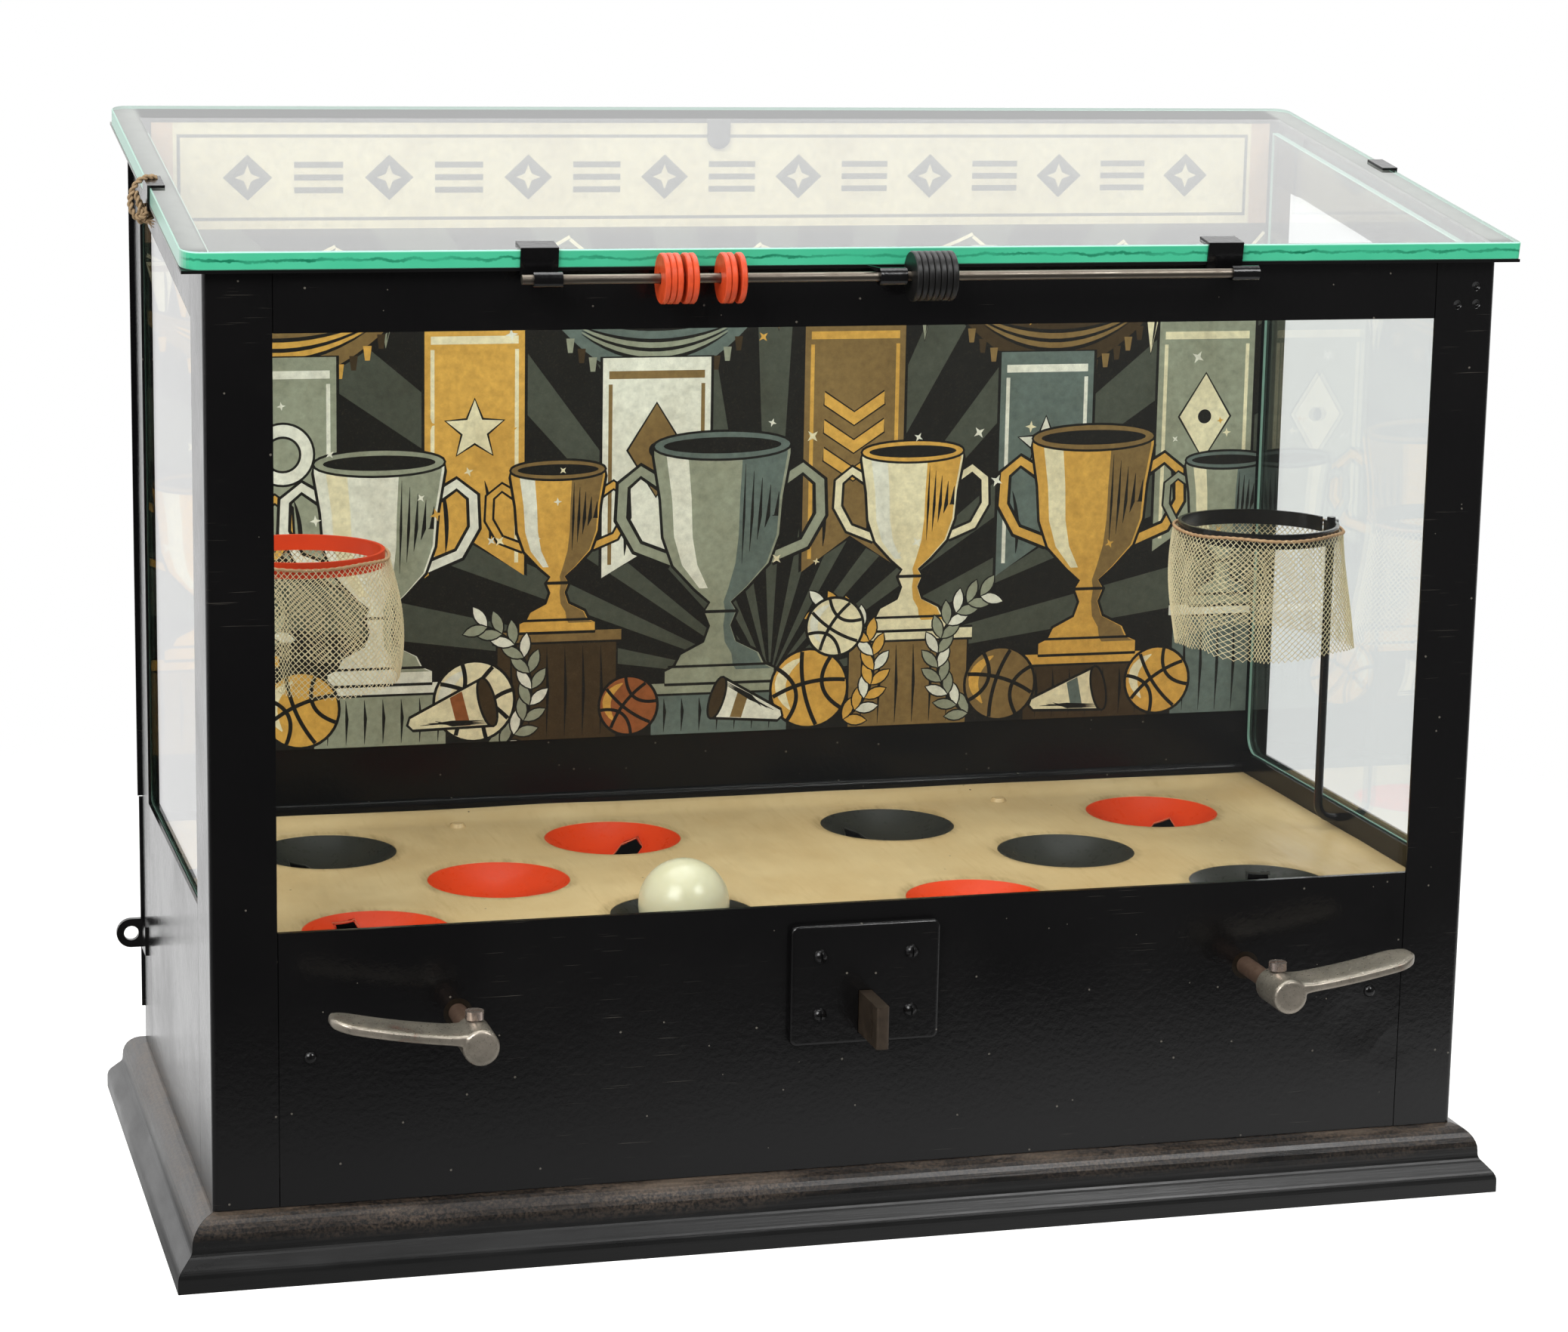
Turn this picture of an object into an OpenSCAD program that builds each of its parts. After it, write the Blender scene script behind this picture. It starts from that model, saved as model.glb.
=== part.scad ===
// Tabletop coin-operated ball game: a glazed steel cabinet on a moulded wooden base.
// A tan playfield holds ten shallow cups, two levers work kicker frames under them,
// and two netted hoops stand at the sides.  Millimetres, +Z up, origin at the middle
// of the base underside, +X to the player's right, +Y to the back.

/* [Cabinet] */
// Width of the steel cabinet over its corner posts
cabinet_w = 445; // [430:1:470]
// Depth of the steel cabinet
cabinet_d = 203; // [200:1:225]
// Height of the front posts' tops above the table
post_h = 334; // [325:1:350]
// Slope of the lid, rising to the back, in degrees
lid_slope = 8.8; // [6:0.1:11]
// Thickness of the folded sheet steel
sheet = 1; // [0.8:0.1:1.2]
// Outside radius of a fold in the corner posts
bend_r = 2; // [1.5:0.1:3]
// Width of a corner post across the front or back
post_w = 22; // [20:1:26]
// Depth of a front post along the side
front_leg = 32; // [28:1:38]
// Depth of a rear post along the side
rear_leg = 24; // [22:1:28]
// Height of the front window sill above the table
sill_z = 117; // [115:0.5:121]
// Height of the side window sills above the table
side_sill_z = 119.5; // [118:0.5:124]
// Height of the rail over the front window
rail_h = 20; // [16:1:24]
// Height of the rails over the side windows
side_rail_h = 23; // [18:1:26]
// Half width of the straps that join panels and posts from behind
lap = 10; // [8:1:12]
// Height of the folded hems along the front window
hem_h = 9; // [7:0.5:11]
// Depth of the panels' bottom flanges on the base
foot_d = 12; // [8:1:16]

/* [Base] */
// Height of the wooden moulding
base_h = 23; // [20:1:28]
// Reach of the moulding outside the cabinet
base_rim = 13.3; // [12.5:0.1:18]
// Width of the moulding under the cabinet walls
base_seat = 20; // [17:1:26]
// Thickness of the floor board
board_t = 18; // [12:1:19]
// Radius of the moulding's upper round
round_r = 9; // [7:0.5:10]
// Radius of the moulding's cove
cove_r = 3.5; // [2.5:0.5:4]
// Radius of the moulding's lower nose
nose_r = 5.5; // [4:0.5:6.5]

/* [Glass] */
// Thickness of the front and side panes
pane_t = 3; // [2:0.5:4]
// Thickness of the lid glass
lid_t = 6; // [5:0.5:8]
// Overhang of the lid at the sides
lid_side = 7; // [5:0.5:9]
// Overhang of the lid at the front
lid_front = 3.6; // [2.5:0.1:6]
// Overhang of the lid at the back
lid_back = 6.5; // [3:0.5:8]
// Corner radius of the lid glass
lid_corner_r = 6; // [3:0.5:12]
// Corner radius of the lid glass at its front right corner
lid_sharp_r = 1.5; // [1:0.5:6]
// Reach of the lid frame inside the cabinet's front and sides
frame_in = 2; // [2:0.25:6]
// Length of the tab that holds the sign card
tab_l = 10; // [7:0.5:14]
// Width of the tab that holds the sign card
tab_w = 8.7; // [6:0.1:12]
// Distance of the tab from the middle
tab_x = 5.5; // [0:0.5:20]
// Radius of the side panes' lower corners
pane_corner_r = 8; // [4:1:12]

/* [Playfield] */
// Height of the flat playfield above the table
play_z = 106; // [104:0.5:107]
// Rise of the playfield's border
play_rise = 3.4; // [2:0.1:3.6]
// Width of the border at the sides
border_side = 28; // [20:1:29]
// Width of the border at the back
border_back = 13; // [9:1:14]
// Radius of a cup's mouth
cup_r = 25.5; // [22:0.5:26]
// Depth of a cup below the sheet
cup_depth = 12; // [10:0.5:13]
// Width of a cup's flange
cup_flange = 3.5; // [2:0.5:4]
// Radius of the kicker hole in a cup
kick_hole_r = 4.5; // [4:0.25:6]
// Distance of the outer cups' centres from the side borders
col_edge = 31.4; // [30:0.2:34]
// Distance of the front row of cups from the cabinet front
row_front = 40; // [38:0.5:42]
// Distance of the middle row behind the midway line of the other two
row_shift = 3; // [0:0.5:4]
// Distance of the back row from the back border
row_edge = 31; // [30:0.5:34]
// Diameter of the ball
ball_d = 31.75; // [28:0.25:34]

/* [Baskets] */
// Diameter of a hoop over its strip
hoop_d = 59.5; // [54:0.5:62]
// Height of a hoop's top edge above the table
hoop_z = 228; // [210:1:250]
// Gap between a hoop and the side pane
hoop_clear = 9.25; // [8:0.25:14]
// Distance of a hoop's centre from the cabinet front
hoop_back = 97; // [90:1:105]
// Height of the hoop's flat strip
strip_h = 5.5; // [4:0.5:7]
// Thickness of the hoop's flat strip
strip_t = 1.2; // [0.8:0.1:1.6]
// Angle left open between the strip's free end and the stand
hoop_gap = 14; // [10:1:24]
// Length of a net below its hoop
net_l = 44; // [34:1:50]
// Flare of a net towards its open end
net_flare = 3; // [0:0.1:4]
// Thickness of the net's envelope
net_t = 0.8; // [0.6:0.1:1.2]
// Diameter of a hoop's stand
stand_d = 3.2; // [2.8:0.1:4]
// Bend radius at the foot of a stand
stand_bend = 6; // [5:0.5:8]

/* [Levers] */
// Distance of a lever shaft from the side of the cabinet
lever_side = 82; // [79.5:0.5:84.5]
// Height of the lever shafts above the table
lever_z = 86.5; // [85.5:0.25:87.5]
// Diameter of a lever shaft
shaft_d = 6.35; // [5.5:0.05:7]
// Reach of a lever hub in front of the cabinet
lever_out = 42; // [38:1:48]
// Diameter of a lever hub
hub_d = 12.2; // [11:0.1:14]
// Length of a lever hub
hub_l = 18; // [17:0.5:24]
// Radius of the hub's eased front rim
hub_ease = 1.2; // [0.6:0.1:2]
// Length of a lever from its shaft to its tip
paddle_l = 48.4; // [42:0.2:54]
// Depth of a lever's paddle, which ends in a half round
paddle_w = 17; // [14:0.5:17]
// Thickness of a lever's paddle
paddle_t = 3.5; // [2.8:0.1:4.5]
// Height of a resting paddle's root over the shaft's axis
paddle_lift = 1.9; // [1:0.1:2.5]
// Angle of a resting paddle's root above the level, in degrees
paddle_rise = 4.6; // [2:0.1:8]
// Radius of the paddle's upward curve
paddle_curve_r = 280; // [200:10:500]
// Radius of the fillets between paddle and hub
paddle_fillet_r = 4; // [2:0.5:5]

/* [Kickers] */
// Radius of the cranks inside the cabinet
crank_r = 25; // [24:0.5:26]
// Angle of a resting crank below the level, in degrees
crank_drop = 20; // [18:0.5:22]
// Radius of a crank's roller
roller_r = 4; // [3.5:0.25:4.5]
// Distance of the cranks from the cabinet front
crank_back = 10.5; // [10:0.25:11]
// Width of the kicker frames' strips
strap_w = 7; // [6.5:0.5:11]
// Thickness of the kicker frames' strips
strap_t = 2.5; // [2.25:0.25:3.5]
// Height of the resting orange kicker frame
orange_z = 68; // [67.5:0.25:69]
// Height of the resting black kicker frame
black_z = 48; // [46:0.25:48.5]
// Diameter of the kicker pins
pin_d = 5; // [4.5:0.25:6.5]
// Diameter of the guide rods
guide_d = 6; // [5:0.25:7]
// Wire diameter of the return springs
wire_d = 1.2; // [1:0.1:1.4]
// Mean diameter of the return springs' coils
coil_d = 9.2; // [9:0.1:10]

/* [Coin slide] */
// Width of the coin plate
plate_w = 53; // [48:1:58]
// Height of the coin plate
plate_h = 42.5; // [40:0.5:45]
// Height of the coin plate's centre above the table
plate_z = 89.2; // [88:0.1:90]
// Depth of the coin plate's folded rim
plate_t = 3.5; // [3:0.1:5]
// Spacing of the plate screws across
screw_span_x = 32.4; // [28:0.2:38]
// Spacing of the plate screws up and down
screw_span_z = 20.7; // [18:0.1:26]
// Thickness of the coin slide
slide_t = 4.5; // [3.5:0.1:5]
// Height of the coin slide
slide_h = 14.7; // [13:0.1:16]
// Height of the coin slide's centre above the table
slide_z = 79.4; // [79:0.1:80]
// Reach of the coin slide in front of the cabinet
slide_out = 25; // [23:0.5:30]
// Travel of the coin slide
slide_travel = 20; // [16:0.5:20]

/* [Score rod] */
// Diameter of the score rod
rod_d = 3.2; // [2.8:0.1:3.6]
// Length of the score rod
rod_l = 250; // [246:1:270]
// Gap between the counter discs and the lid's front edge
disc_gap = 0.35; // [0.2:0.05:1.5]
// Width of a rod clip
clip_w = 12.5; // [10:0.5:16]
// Width of the roll that holds the rod
roll_w = 9.5; // [8:0.5:12]
// Distance of the rod's middle to the right of the cabinet's
rod_shift = 2.5; // [0:0.25:3]
// Thickness of the clips' strip
clip_t = 0.9; // [0.7:0.1:1.1]
// Reach of the rod past its clips
rod_past = 1; // [0.5:0.25:4]
// Diameter of a counter disc
disc_d = 16.5; // [14:0.5:18]
// Thickness of a counter disc
disc_t = 1.9; // [1.6:0.1:2]

/* [Back] */
// Depth from the picture wall to the cabinet back
wall_in = 9; // [8:0.5:11]
// Thickness of the picture and sign cards
card_t = 0.8; // [0.5:0.1:1]
// Height of the picture's lower edge above the table
picture_z = 134.5; // [128:0.5:140]
// Height of the sign's lower edge above the table
sign_z = 325; // [318:0.5:330]
// Height of the lower edge of the rear door above the table
door_z = 35; // [32:0.5:38]
// Distance of the padlock hole outside the cabinet
lug_out = 4.7; // [4.2:0.1:6]
// Height of the padlock hole above the table
lug_z = 64; // [58:0.5:80]
// Diameter of the padlock hole
lug_hole_d = 5.5; // [4:0.1:7]
// Diameter of the rear door's hinge pin
hinge_pin_d = 2.4; // [2:0.1:3]

/* [Hidden] */

$fn = 48;

// Clearances: panel seams, mitres, loose pieces, sliding and running fits
seam = 0.3;
mitre = 0.1;
loose = 0.3;
slide_fit = 0.2;
running_fit = 0.05;
snug_fit = 0.02;
// Depth to which a welded strip goes into its sheet
weld = 0.3;

half_w = cabinet_w / 2;
lever_x = half_w - lever_side;
front_y = -cabinet_d / 2;
back_y = cabinet_d / 2;
panel_x = half_w - post_w - seam;
side_y0 = front_y + front_leg + seam;
side_y1 = back_y - rear_leg - seam;
wall_y = back_y - wall_in;
pane_x = half_w - 2 * sheet;
pane_in = pane_x - pane_t;
pane_z = side_sill_z - 2;
border_z = play_z + play_rise;

black = "#17181a";
wood = "#241d18";
tan = "#c3a97c";
orange = "#d8401f";
steel = "#8d8a84";
pewter = "#9a9186";
clear = [0.75, 0.9, 0.85, 0.35];

// Height of the cabinet's top edge at a depth
function top_z(y) = post_h + (y - front_y) * tan(lid_slope);

function arc(c, r, a0, a1, n = 8) =
    [for (i = [0:n]) let(a = a0 + (a1 - a0) * i / n) [c[0] + r * cos(a), c[1] + r * sin(a)]];

function round_rect(x0, y0, x1, y1, r) = concat(
    arc([x1 - r, y1 - r], r, 0, 90), arc([x0 + r, y1 - r], r, 90, 180),
    arc([x0 + r, y0 + r], r, 180, 270), arc([x1 - r, y0 + r], r, 270, 360));

function reversed(list) = [for (i = [len(list) - 1:-1:0]) list[i]];

module box(x0, x1, y0, y1, z0, z1) {
    translate([x0, y0, z0])
        cube([x1 - x0, y1 - y0, z1 - z0]);
}

module pair() {
    children();
    mirror([1, 0, 0])
        children();
}

// An outline drawn in the YZ plane and pulled along X
module side_cut(x0, x1, outline) {
    translate([x0, 0, 0])
        rotate([90, 0, 90])
            linear_extrude(x1 - x0)
                polygon(outline);
}

// A wall from z0 up to the sloped top, or to a line that lies below it
module sloped_wall(x0, x1, y0, y1, z0, below = 0) {
    side_cut(x0, x1, [[y0, z0], [y1, z0], [y1, top_z(y1) - below], [y0, top_z(y0) - below]]);
}

// A band of constant height along the sloped top
module sloped_band(x0, x1, y0, y1, h) {
    side_cut(x0, x1, [[y0, top_z(y0) - h], [y1, top_z(y1) - h], [y1, top_z(y1)], [y0, top_z(y0)]]);
}

// Children drawn flat, X across and Y up the slope, laid on the cabinet's sloped top
module on_lid() {
    translate([0, front_y, post_h])
        rotate([lid_slope, 0, 0])
            children();
}

module rod_x(r, x0, x1) {
    translate([x0, 0, 0])
        rotate([0, 90, 0])
            cylinder(r = r, h = x1 - x0);
}

module rod_y(r, y0, y1) {
    translate([0, y0, 0])
        rotate([-90, 0, 0])
            cylinder(r = r, h = y1 - y0);
}

// Wooden base

module base_board() {
    color(wood)
        box(-half_w + base_seat, half_w - base_seat, front_y + base_seat, back_y - base_seat, 0, board_t);
}

// Moulding section, outward to the left: round on top, cove, then a nose
nose_z = 4;
cove_x = base_rim - 1.9;
cove_end = 235;
moulding_outline = [for (p = concat(
    [[-base_seat, 0], [-base_seat, base_h]],
    arc([cove_x - cove_r - round_r, base_h - round_r], round_r, 90, 0),
    arc([cove_x, base_h - round_r - 0.8], cove_r, 180, cove_end, 4),
    arc([base_rim - nose_r, nose_z], nose_r, 48, 0, 6),
    [[base_rim, 0]])) [-p[0], p[1]]];

module moulding(run) {
    intersection() {
        side_cut(-run / 2 - base_rim, run / 2 + base_rim, moulding_outline);
        linear_extrude(base_h)
            polygon([
                [-run / 2 - base_rim + mitre, -base_rim], [run / 2 + base_rim - mitre, -base_rim],
                [run / 2 - base_seat - mitre, base_seat], [-run / 2 + base_seat + mitre, base_seat]]);
    }
}

module base_mouldings() {
    color(wood) {
        translate([0, front_y, 0])
            moulding(cabinet_w);
        translate([0, back_y, 0])
            rotate(180)
                moulding(cabinet_w);
        translate([-half_w, 0, 0])
            rotate(-90)
                moulding(cabinet_d);
        translate([half_w, 0, 0])
            rotate(90)
                moulding(cabinet_d);
    }
}

// Steel cabinet

// Folded angle, corner at the origin, one leg along +X and one along +Y
module angle_post(leg) {
    linear_extrude(2 * post_h)
        polygon(concat(
            [[post_w, 0], [post_w, sheet]],
            arc([bend_r, bend_r], bend_r - sheet, 270, 180),
            [[sheet, leg], [0, leg]],
            arc([bend_r, bend_r], bend_r, 180, 270)));
}

module under_lid() {
    intersection() {
        children();
        sloped_wall(-cabinet_w, cabinet_w, front_y - post_w, back_y + post_w, 0);
    }
}

module front_posts() {
    color(black)
        pair()
            under_lid()
                translate([-half_w, front_y, base_h])
                    angle_post(front_leg);
}

module rear_posts() {
    color(black)
        pair()
            under_lid()
                translate([-half_w, back_y, base_h])
                    mirror([0, 1, 0])
                        angle_post(rear_leg);
}

bush_t = 1.8;
bush_r = shaft_d / 2 + bush_t;
slot_x = slide_t / 2 + slide_fit;
slot_z = slide_h / 2 + slide_fit;

module front_panel() {
    strap_y = front_y + sheet;
    color(black)
        difference() {
            union() {
                box(-panel_x, panel_x, front_y, strap_y, base_h, sill_z);
                box(-panel_x, panel_x, strap_y, strap_y + sheet, sill_z - hem_h, sill_z);
                box(-panel_x, panel_x, front_y, front_y + foot_d, base_h, base_h + sheet);
                pair()
                    box(panel_x - lap, panel_x + lap, strap_y, strap_y + sheet, base_h + lap, sill_z);
            }
            pair()
                translate([lever_x, front_y, lever_z])
                    rod_y(bush_r, -1, 2 * sheet);
            box(-slot_x, slot_x, front_y - 1, front_y + 2 * sheet, slide_z - slot_z, slide_z + slot_z);
        }
}

module front_rail() {
    rail_z = post_h - rail_h;
    strap_y = front_y + sheet;
    color(black) {
        sloped_wall(-panel_x, panel_x, front_y, strap_y, rail_z);
        box(-panel_x, panel_x, strap_y - weld, strap_y + sheet, rail_z, rail_z + hem_h);
        pair()
            box(panel_x - lap, panel_x + lap, strap_y, strap_y + sheet, rail_z, post_h - sheet);
    }
}

module side_panels() {
    color(black)
        pair() {
            box(half_w - sheet, half_w, side_y0, side_y1, base_h, side_sill_z);
            box(half_w - foot_d, half_w, side_y0, side_y1, base_h, base_h + sheet);
            for (y = [side_y0, side_y1])
                box(pane_x, half_w - sheet, y - lap, y + lap, base_h + lap, pane_z);
        }
}

module side_rails() {
    color(black)
        pair() {
            sloped_band(half_w - sheet, half_w, side_y0, side_y1, side_rail_h);
            for (y = [side_y0, side_y1])
                sloped_band(pane_x, half_w - sheet, y - lap, y + lap, side_rail_h);
        }
}

door_lap = 5;

module rear_sill() {
    color(black) {
        box(-panel_x, panel_x, back_y - sheet, back_y, base_h, door_z + door_lap);
        box(-panel_x, panel_x, back_y - foot_d, back_y, base_h, base_h + sheet);
        pair()
            box(panel_x - lap, panel_x + lap, back_y - 2 * sheet, back_y - sheet,
                base_h + sheet, door_z + door_lap);
    }
}

// Flat steel sheet over the back of the glazed part, a little wider than the cabinet
cover_lip = 1.5;
cover_below = 6;

module back_cover() {
    color(black)
        sloped_wall(-half_w - cover_lip, half_w + cover_lip, back_y, back_y + sheet, sill_z, cover_below);
}

// Steel pan that carries the picture, with flanges back to the rear posts
pan_x = half_w - bend_r;
pan_z = play_z - 8;

module back_panel() {
    color(black) {
        sloped_wall(-pan_x, pan_x, wall_y, wall_y + sheet, pan_z);
        pair()
            sloped_wall(pan_x - sheet, pan_x, wall_y, back_y - sheet, pan_z);
        box(-pan_x, pan_x, wall_y, back_y - sheet, pan_z, pan_z + sheet);
    }
}

// Rails that hold the side panes off the playfield, and the bead along the back
rail_in = pane_in - 1.5;
bead_h = 4;
bead_d = 2.5;

module inner_rails() {
    rail_front = front_y + 2 * sheet + pane_t + 1;
    color(black) {
        pair()
            box(rail_in, pane_x, rail_front, wall_y, border_z, pane_z);
        side_cut(-rail_in + mitre, rail_in - mitre, concat(
            [[wall_y, border_z], [wall_y, border_z + bead_h]],
            arc([wall_y, border_z + bead_h - bead_d], bead_d, 90, 180),
            [[wall_y - bead_d, border_z]]));
    }
}

module picture_card() {
    color("#a9843f")
        box(-pane_in + 1, pane_in - 1, wall_y - card_t, wall_y, picture_z, sign_z);
}

module sign_card() {
    color("#e2d6b8")
        sloped_wall(-pane_in + 1, pane_in - 1, wall_y - card_t, wall_y, sign_z, loose);
}

// Lid and panes

lid_x = half_w + lid_side;
lid_s1 = (cabinet_d + lid_back) / cos(lid_slope);
frame_x = half_w - frame_in;
frame_s1 = (wall_y - front_y) / cos(lid_slope);
tab_y = wall_y - card_t - loose;

// Four flat strips that lie on the posts and rails and carry the glass.  A tab of the
// back strip turns down over the sign card.
module lid_frame() {
    color(black) {
        on_lid() {
            box(-lid_x, lid_x, -lid_front, frame_in, 0, sheet);
            box(-lid_x, lid_x, frame_s1, lid_s1, 0, sheet);
            pair()
                box(frame_x, lid_x, frame_in + mitre, frame_s1 - mitre, 0, sheet);
        }
        side_cut(-tab_x - tab_w / 2, -tab_x + tab_w / 2, [for (p = [
            [tab_y - sheet, 0], [wall_y + sheet, 0], [wall_y + sheet, sheet], [tab_y - sheet, sheet]])
            [p[0], top_z(p[0]) + p[1]]]);
        translate([-tab_x, tab_y, top_z(tab_y)])
            rotate([90, 0, 0])
                linear_extrude(sheet) {
                    translate([-tab_w / 2, tab_w / 2 - tab_l])
                        square([tab_w, tab_l - tab_w / 2 + weld]);
                    translate([0, tab_w / 2 - tab_l])
                        circle(d = tab_w);
                }
    }
}

module lid_glass() {
    r = lid_corner_r;
    sharp = lid_sharp_r;
    color(clear)
        on_lid()
            translate([0, 0, sheet])
                linear_extrude(lid_t)
                    polygon(concat(
                        arc([lid_x - r, lid_s1 - r], r, 0, 90), arc([r - lid_x, lid_s1 - r], r, 90, 180),
                        arc([r - lid_x, r - lid_front], r, 180, 270),
                        arc([lid_x - sharp, sharp - lid_front], sharp, 270, 360)));
}

glass_drop = 7;
front_glass_y = front_y + 2 * sheet;

module front_glass() {
    edge = pane_in - 1;
    color(clear)
        box(-edge, edge, front_glass_y, front_glass_y + pane_t, sill_z - glass_drop, post_h - 3);
}

// Folded channel under the front pane, hung behind the panel's hem
module glass_channel() {
    run = panel_x - lap - 2;
    z0 = sill_z - glass_drop;
    back = front_glass_y + pane_t;
    color(black) {
        box(-run, run, front_glass_y, back + sheet, z0 - sheet, z0);
        box(-run, run, back, back + sheet, z0, z0 + 3);
    }
}

module side_glass() {
    y0 = front_y + 2 * sheet + pane_t + 1;
    y1 = wall_y - card_t - loose;
    r = pane_corner_r;
    below = 4;
    color(clear)
        pair()
            side_cut(pane_in, pane_x, concat(
                arc([y0 + r, pane_z + r], r, 180, 270), arc([y1 - r, pane_z + r], r, 270, 360),
                [[y1, top_z(y1) - below], [y0, top_z(y0) - below]]));
}

// Playfield

play_y0 = front_y + 2 * sheet;
flat_x = pane_x - border_side;
flat_y = wall_y - border_back;
ramp_share = 0.8;

// Border section of a given width: a soft rise, then a level rim
function border_top(w) = concat(
    [for (i = [0:10]) [w * ramp_share * i / 10, play_rise * (1 - cos(18 * i)) / 2]],
    [[w, play_rise]]);

function border_section(w) = concat(
    border_top(w), [for (i = [11:-1:0]) border_top(w)[i] - [0, sheet]]);

// Three columns on each side, evenly spaced from the middle, and three rows
cup_cols = (flat_x - col_edge) * [1 / 3, 2 / 3, 1];
row_ends = [front_y + row_front, flat_y - row_edge];
row_y = [row_ends[0], (row_ends[0] + row_ends[1]) / 2 + row_shift, row_ends[1]];

// The orange cups; the black cups are their mirror image
kick_spots = [
    [-cup_cols[2], row_y[0]], [-cup_cols[1], row_y[1]], [-cup_cols[0], row_y[2]],
    [cup_cols[0], row_y[0]], [cup_cols[2], row_y[2]]];

module playfield() {
    color(tan)
        difference() {
            union() {
                box(-flat_x, flat_x, play_y0, flat_y, play_z - sheet, play_z);
                pair()
                    intersection() {
                        translate([flat_x, play_y0, play_z])
                            mirror([0, 1, 0])
                                rotate([90, 0, 0])
                                    linear_extrude(cabinet_d)
                                        polygon(border_section(border_side));
                        linear_extrude(post_h)
                            polygon([
                                [flat_x, play_y0], [pane_x, play_y0], [pane_x, wall_y], [flat_x, flat_y]]);
                    }
                intersection() {
                    side_cut(-half_w, half_w,
                        [for (p = border_section(border_back)) p + [flat_y, play_z]]);
                    linear_extrude(post_h)
                        polygon([[-flat_x, flat_y], [flat_x, flat_y], [pane_x, wall_y], [-pane_x, wall_y]]);
                }
            }
            pair()
                for (p = kick_spots)
                    translate([p[0], p[1], 0])
                        cylinder(r = cup_r, h = post_h);
        }
}

// A pressed bowl with a flange that seats under the sheet
cup_t = 1;
mouth_z = play_z - sheet;
bowl_r = (cup_r * cup_r + cup_depth * cup_depth) / (2 * cup_depth);
bowl_z = mouth_z - cup_depth + bowl_r;
mouth_angle = asin(cup_r / bowl_r);

module cup() {
    r_out = bowl_r + cup_t;
    rotate_extrude($fn = 64) {
        polygon(concat(
            arc([0, bowl_z], bowl_r, asin(kick_hole_r / bowl_r) - 90, mouth_angle - 90, 12),
            arc([0, bowl_z], r_out, mouth_angle - 90, asin(kick_hole_r / r_out) - 90, 12)));
        translate([cup_r, mouth_z - cup_t])
            square([cup_flange, cup_t]);
    }
}

module cups() {
    for (p = kick_spots)
        translate([p[0], p[1], 0])
            cup();
}

module orange_cups() {
    color(orange)
        cups();
}

module black_cups() {
    color("#2a2b2d")
        mirror([1, 0, 0])
            cups();
}

field_screw_edge = 4;
field_screw_r = 3.2;
field_screw_h = 1.4;
// Driver slots in the screw heads
slot_w = 0.8;
slot_d = 0.6;

module playfield_screws() {
    color(tan)
        pair()
            translate([cup_cols[1], flat_y - field_screw_edge, play_z])
                difference() {
                    cylinder(r1 = field_screw_r, r2 = 0.75 * field_screw_r, h = field_screw_h);
                    box(-field_screw_r, field_screw_r, -slot_w / 2, slot_w / 2,
                        field_screw_h - slot_d, field_screw_h + slot_d);
                }
}

// The ball rests in the black cup left of the middle, on the rim of its kicker hole
ball_r = ball_d / 2;
ball_z = mouth_z - cup_depth + ball_r + loose;

module ball() {
    color("#e6e0c8")
        translate([-cup_cols[0], row_y[0], ball_z])
            sphere(r = ball_r, $fn = 64);
}

// Baskets

hoop_y = front_y + hoop_back;
hoop_r = hoop_d / 2;
hoop_x = pane_in - hoop_clear - hoop_r;
stand_r = stand_d / 2;
stand_x = hoop_r - strip_t / 2;
curl_r = stand_r + strip_t;

// Open flat strip whose end curls round the stand
module hoop() {
    reach = hoop_d * [cos(hoop_gap), sin(hoop_gap)];
    translate([hoop_x, hoop_y, hoop_z - strip_h])
        linear_extrude(strip_h)
            difference() {
                union() {
                    difference() {
                        circle(r = hoop_r, $fn = 72);
                        circle(r = hoop_r - strip_t, $fn = 72);
                        polygon([[0, 0], [reach[0], 0], reach]);
                    }
                    translate([stand_x, 0])
                        circle(r = curl_r);
                }
                translate([stand_x, 0])
                    circle(r = stand_r + snug_fit);
            }
}

module left_hoop() {
    color(orange)
        mirror([1, 0, 0])
            hoop();
}

module right_hoop() {
    color(black)
        hoop();
}

// Upright wire with its foot bent out to the rail under the side pane
module hoop_stands() {
    foot_z = border_z + 4;
    bend_z = foot_z + stand_bend;
    color("#4a4038")
        pair()
            translate([hoop_x + stand_x, hoop_y, 0]) {
                translate([0, 0, bend_z])
                    cylinder(r = stand_r, h = hoop_z + 1 - bend_z);
                translate([stand_bend, 0, bend_z])
                    rotate([90, 0, 0])
                        rotate(180)
                            rotate_extrude(angle = 90)
                                translate([stand_bend, 0])
                                    circle(r = stand_r);
                translate([0, 0, foot_z])
                    rod_x(stand_r, stand_bend, rail_in - hoop_x - stand_x);
            }
}

// Envelope of a knotted net tied round the hoop, open below, split where the stand runs
module hoop_nets() {
    net_r = hoop_r + 0.1;
    color("#cdbb95")
        pair()
            translate([hoop_x, hoop_y, hoop_z - strip_h])
                difference() {
                    rotate_extrude($fn = 72)
                        polygon([
                            [net_r, 2], [net_r + net_t, 2],
                            [net_r + net_t + net_flare, 2 - net_l], [net_r + net_flare, 2 - net_l]]);
                    translate([stand_x, 0, -net_l])
                        cylinder(r = curl_r + loose, h = net_l + strip_h);
                }
}

// Levers and shafts, drawn on the right and mirrored to the left

hub_r = hub_d / 2;
hub_y = front_y - lever_out;
screw_inset = 4.8;
screw_y = hub_y + hub_l - screw_inset;
screw_r = 1.6;

module at_shaft() {
    translate([lever_x, 0, lever_z])
        children();
}

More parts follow.
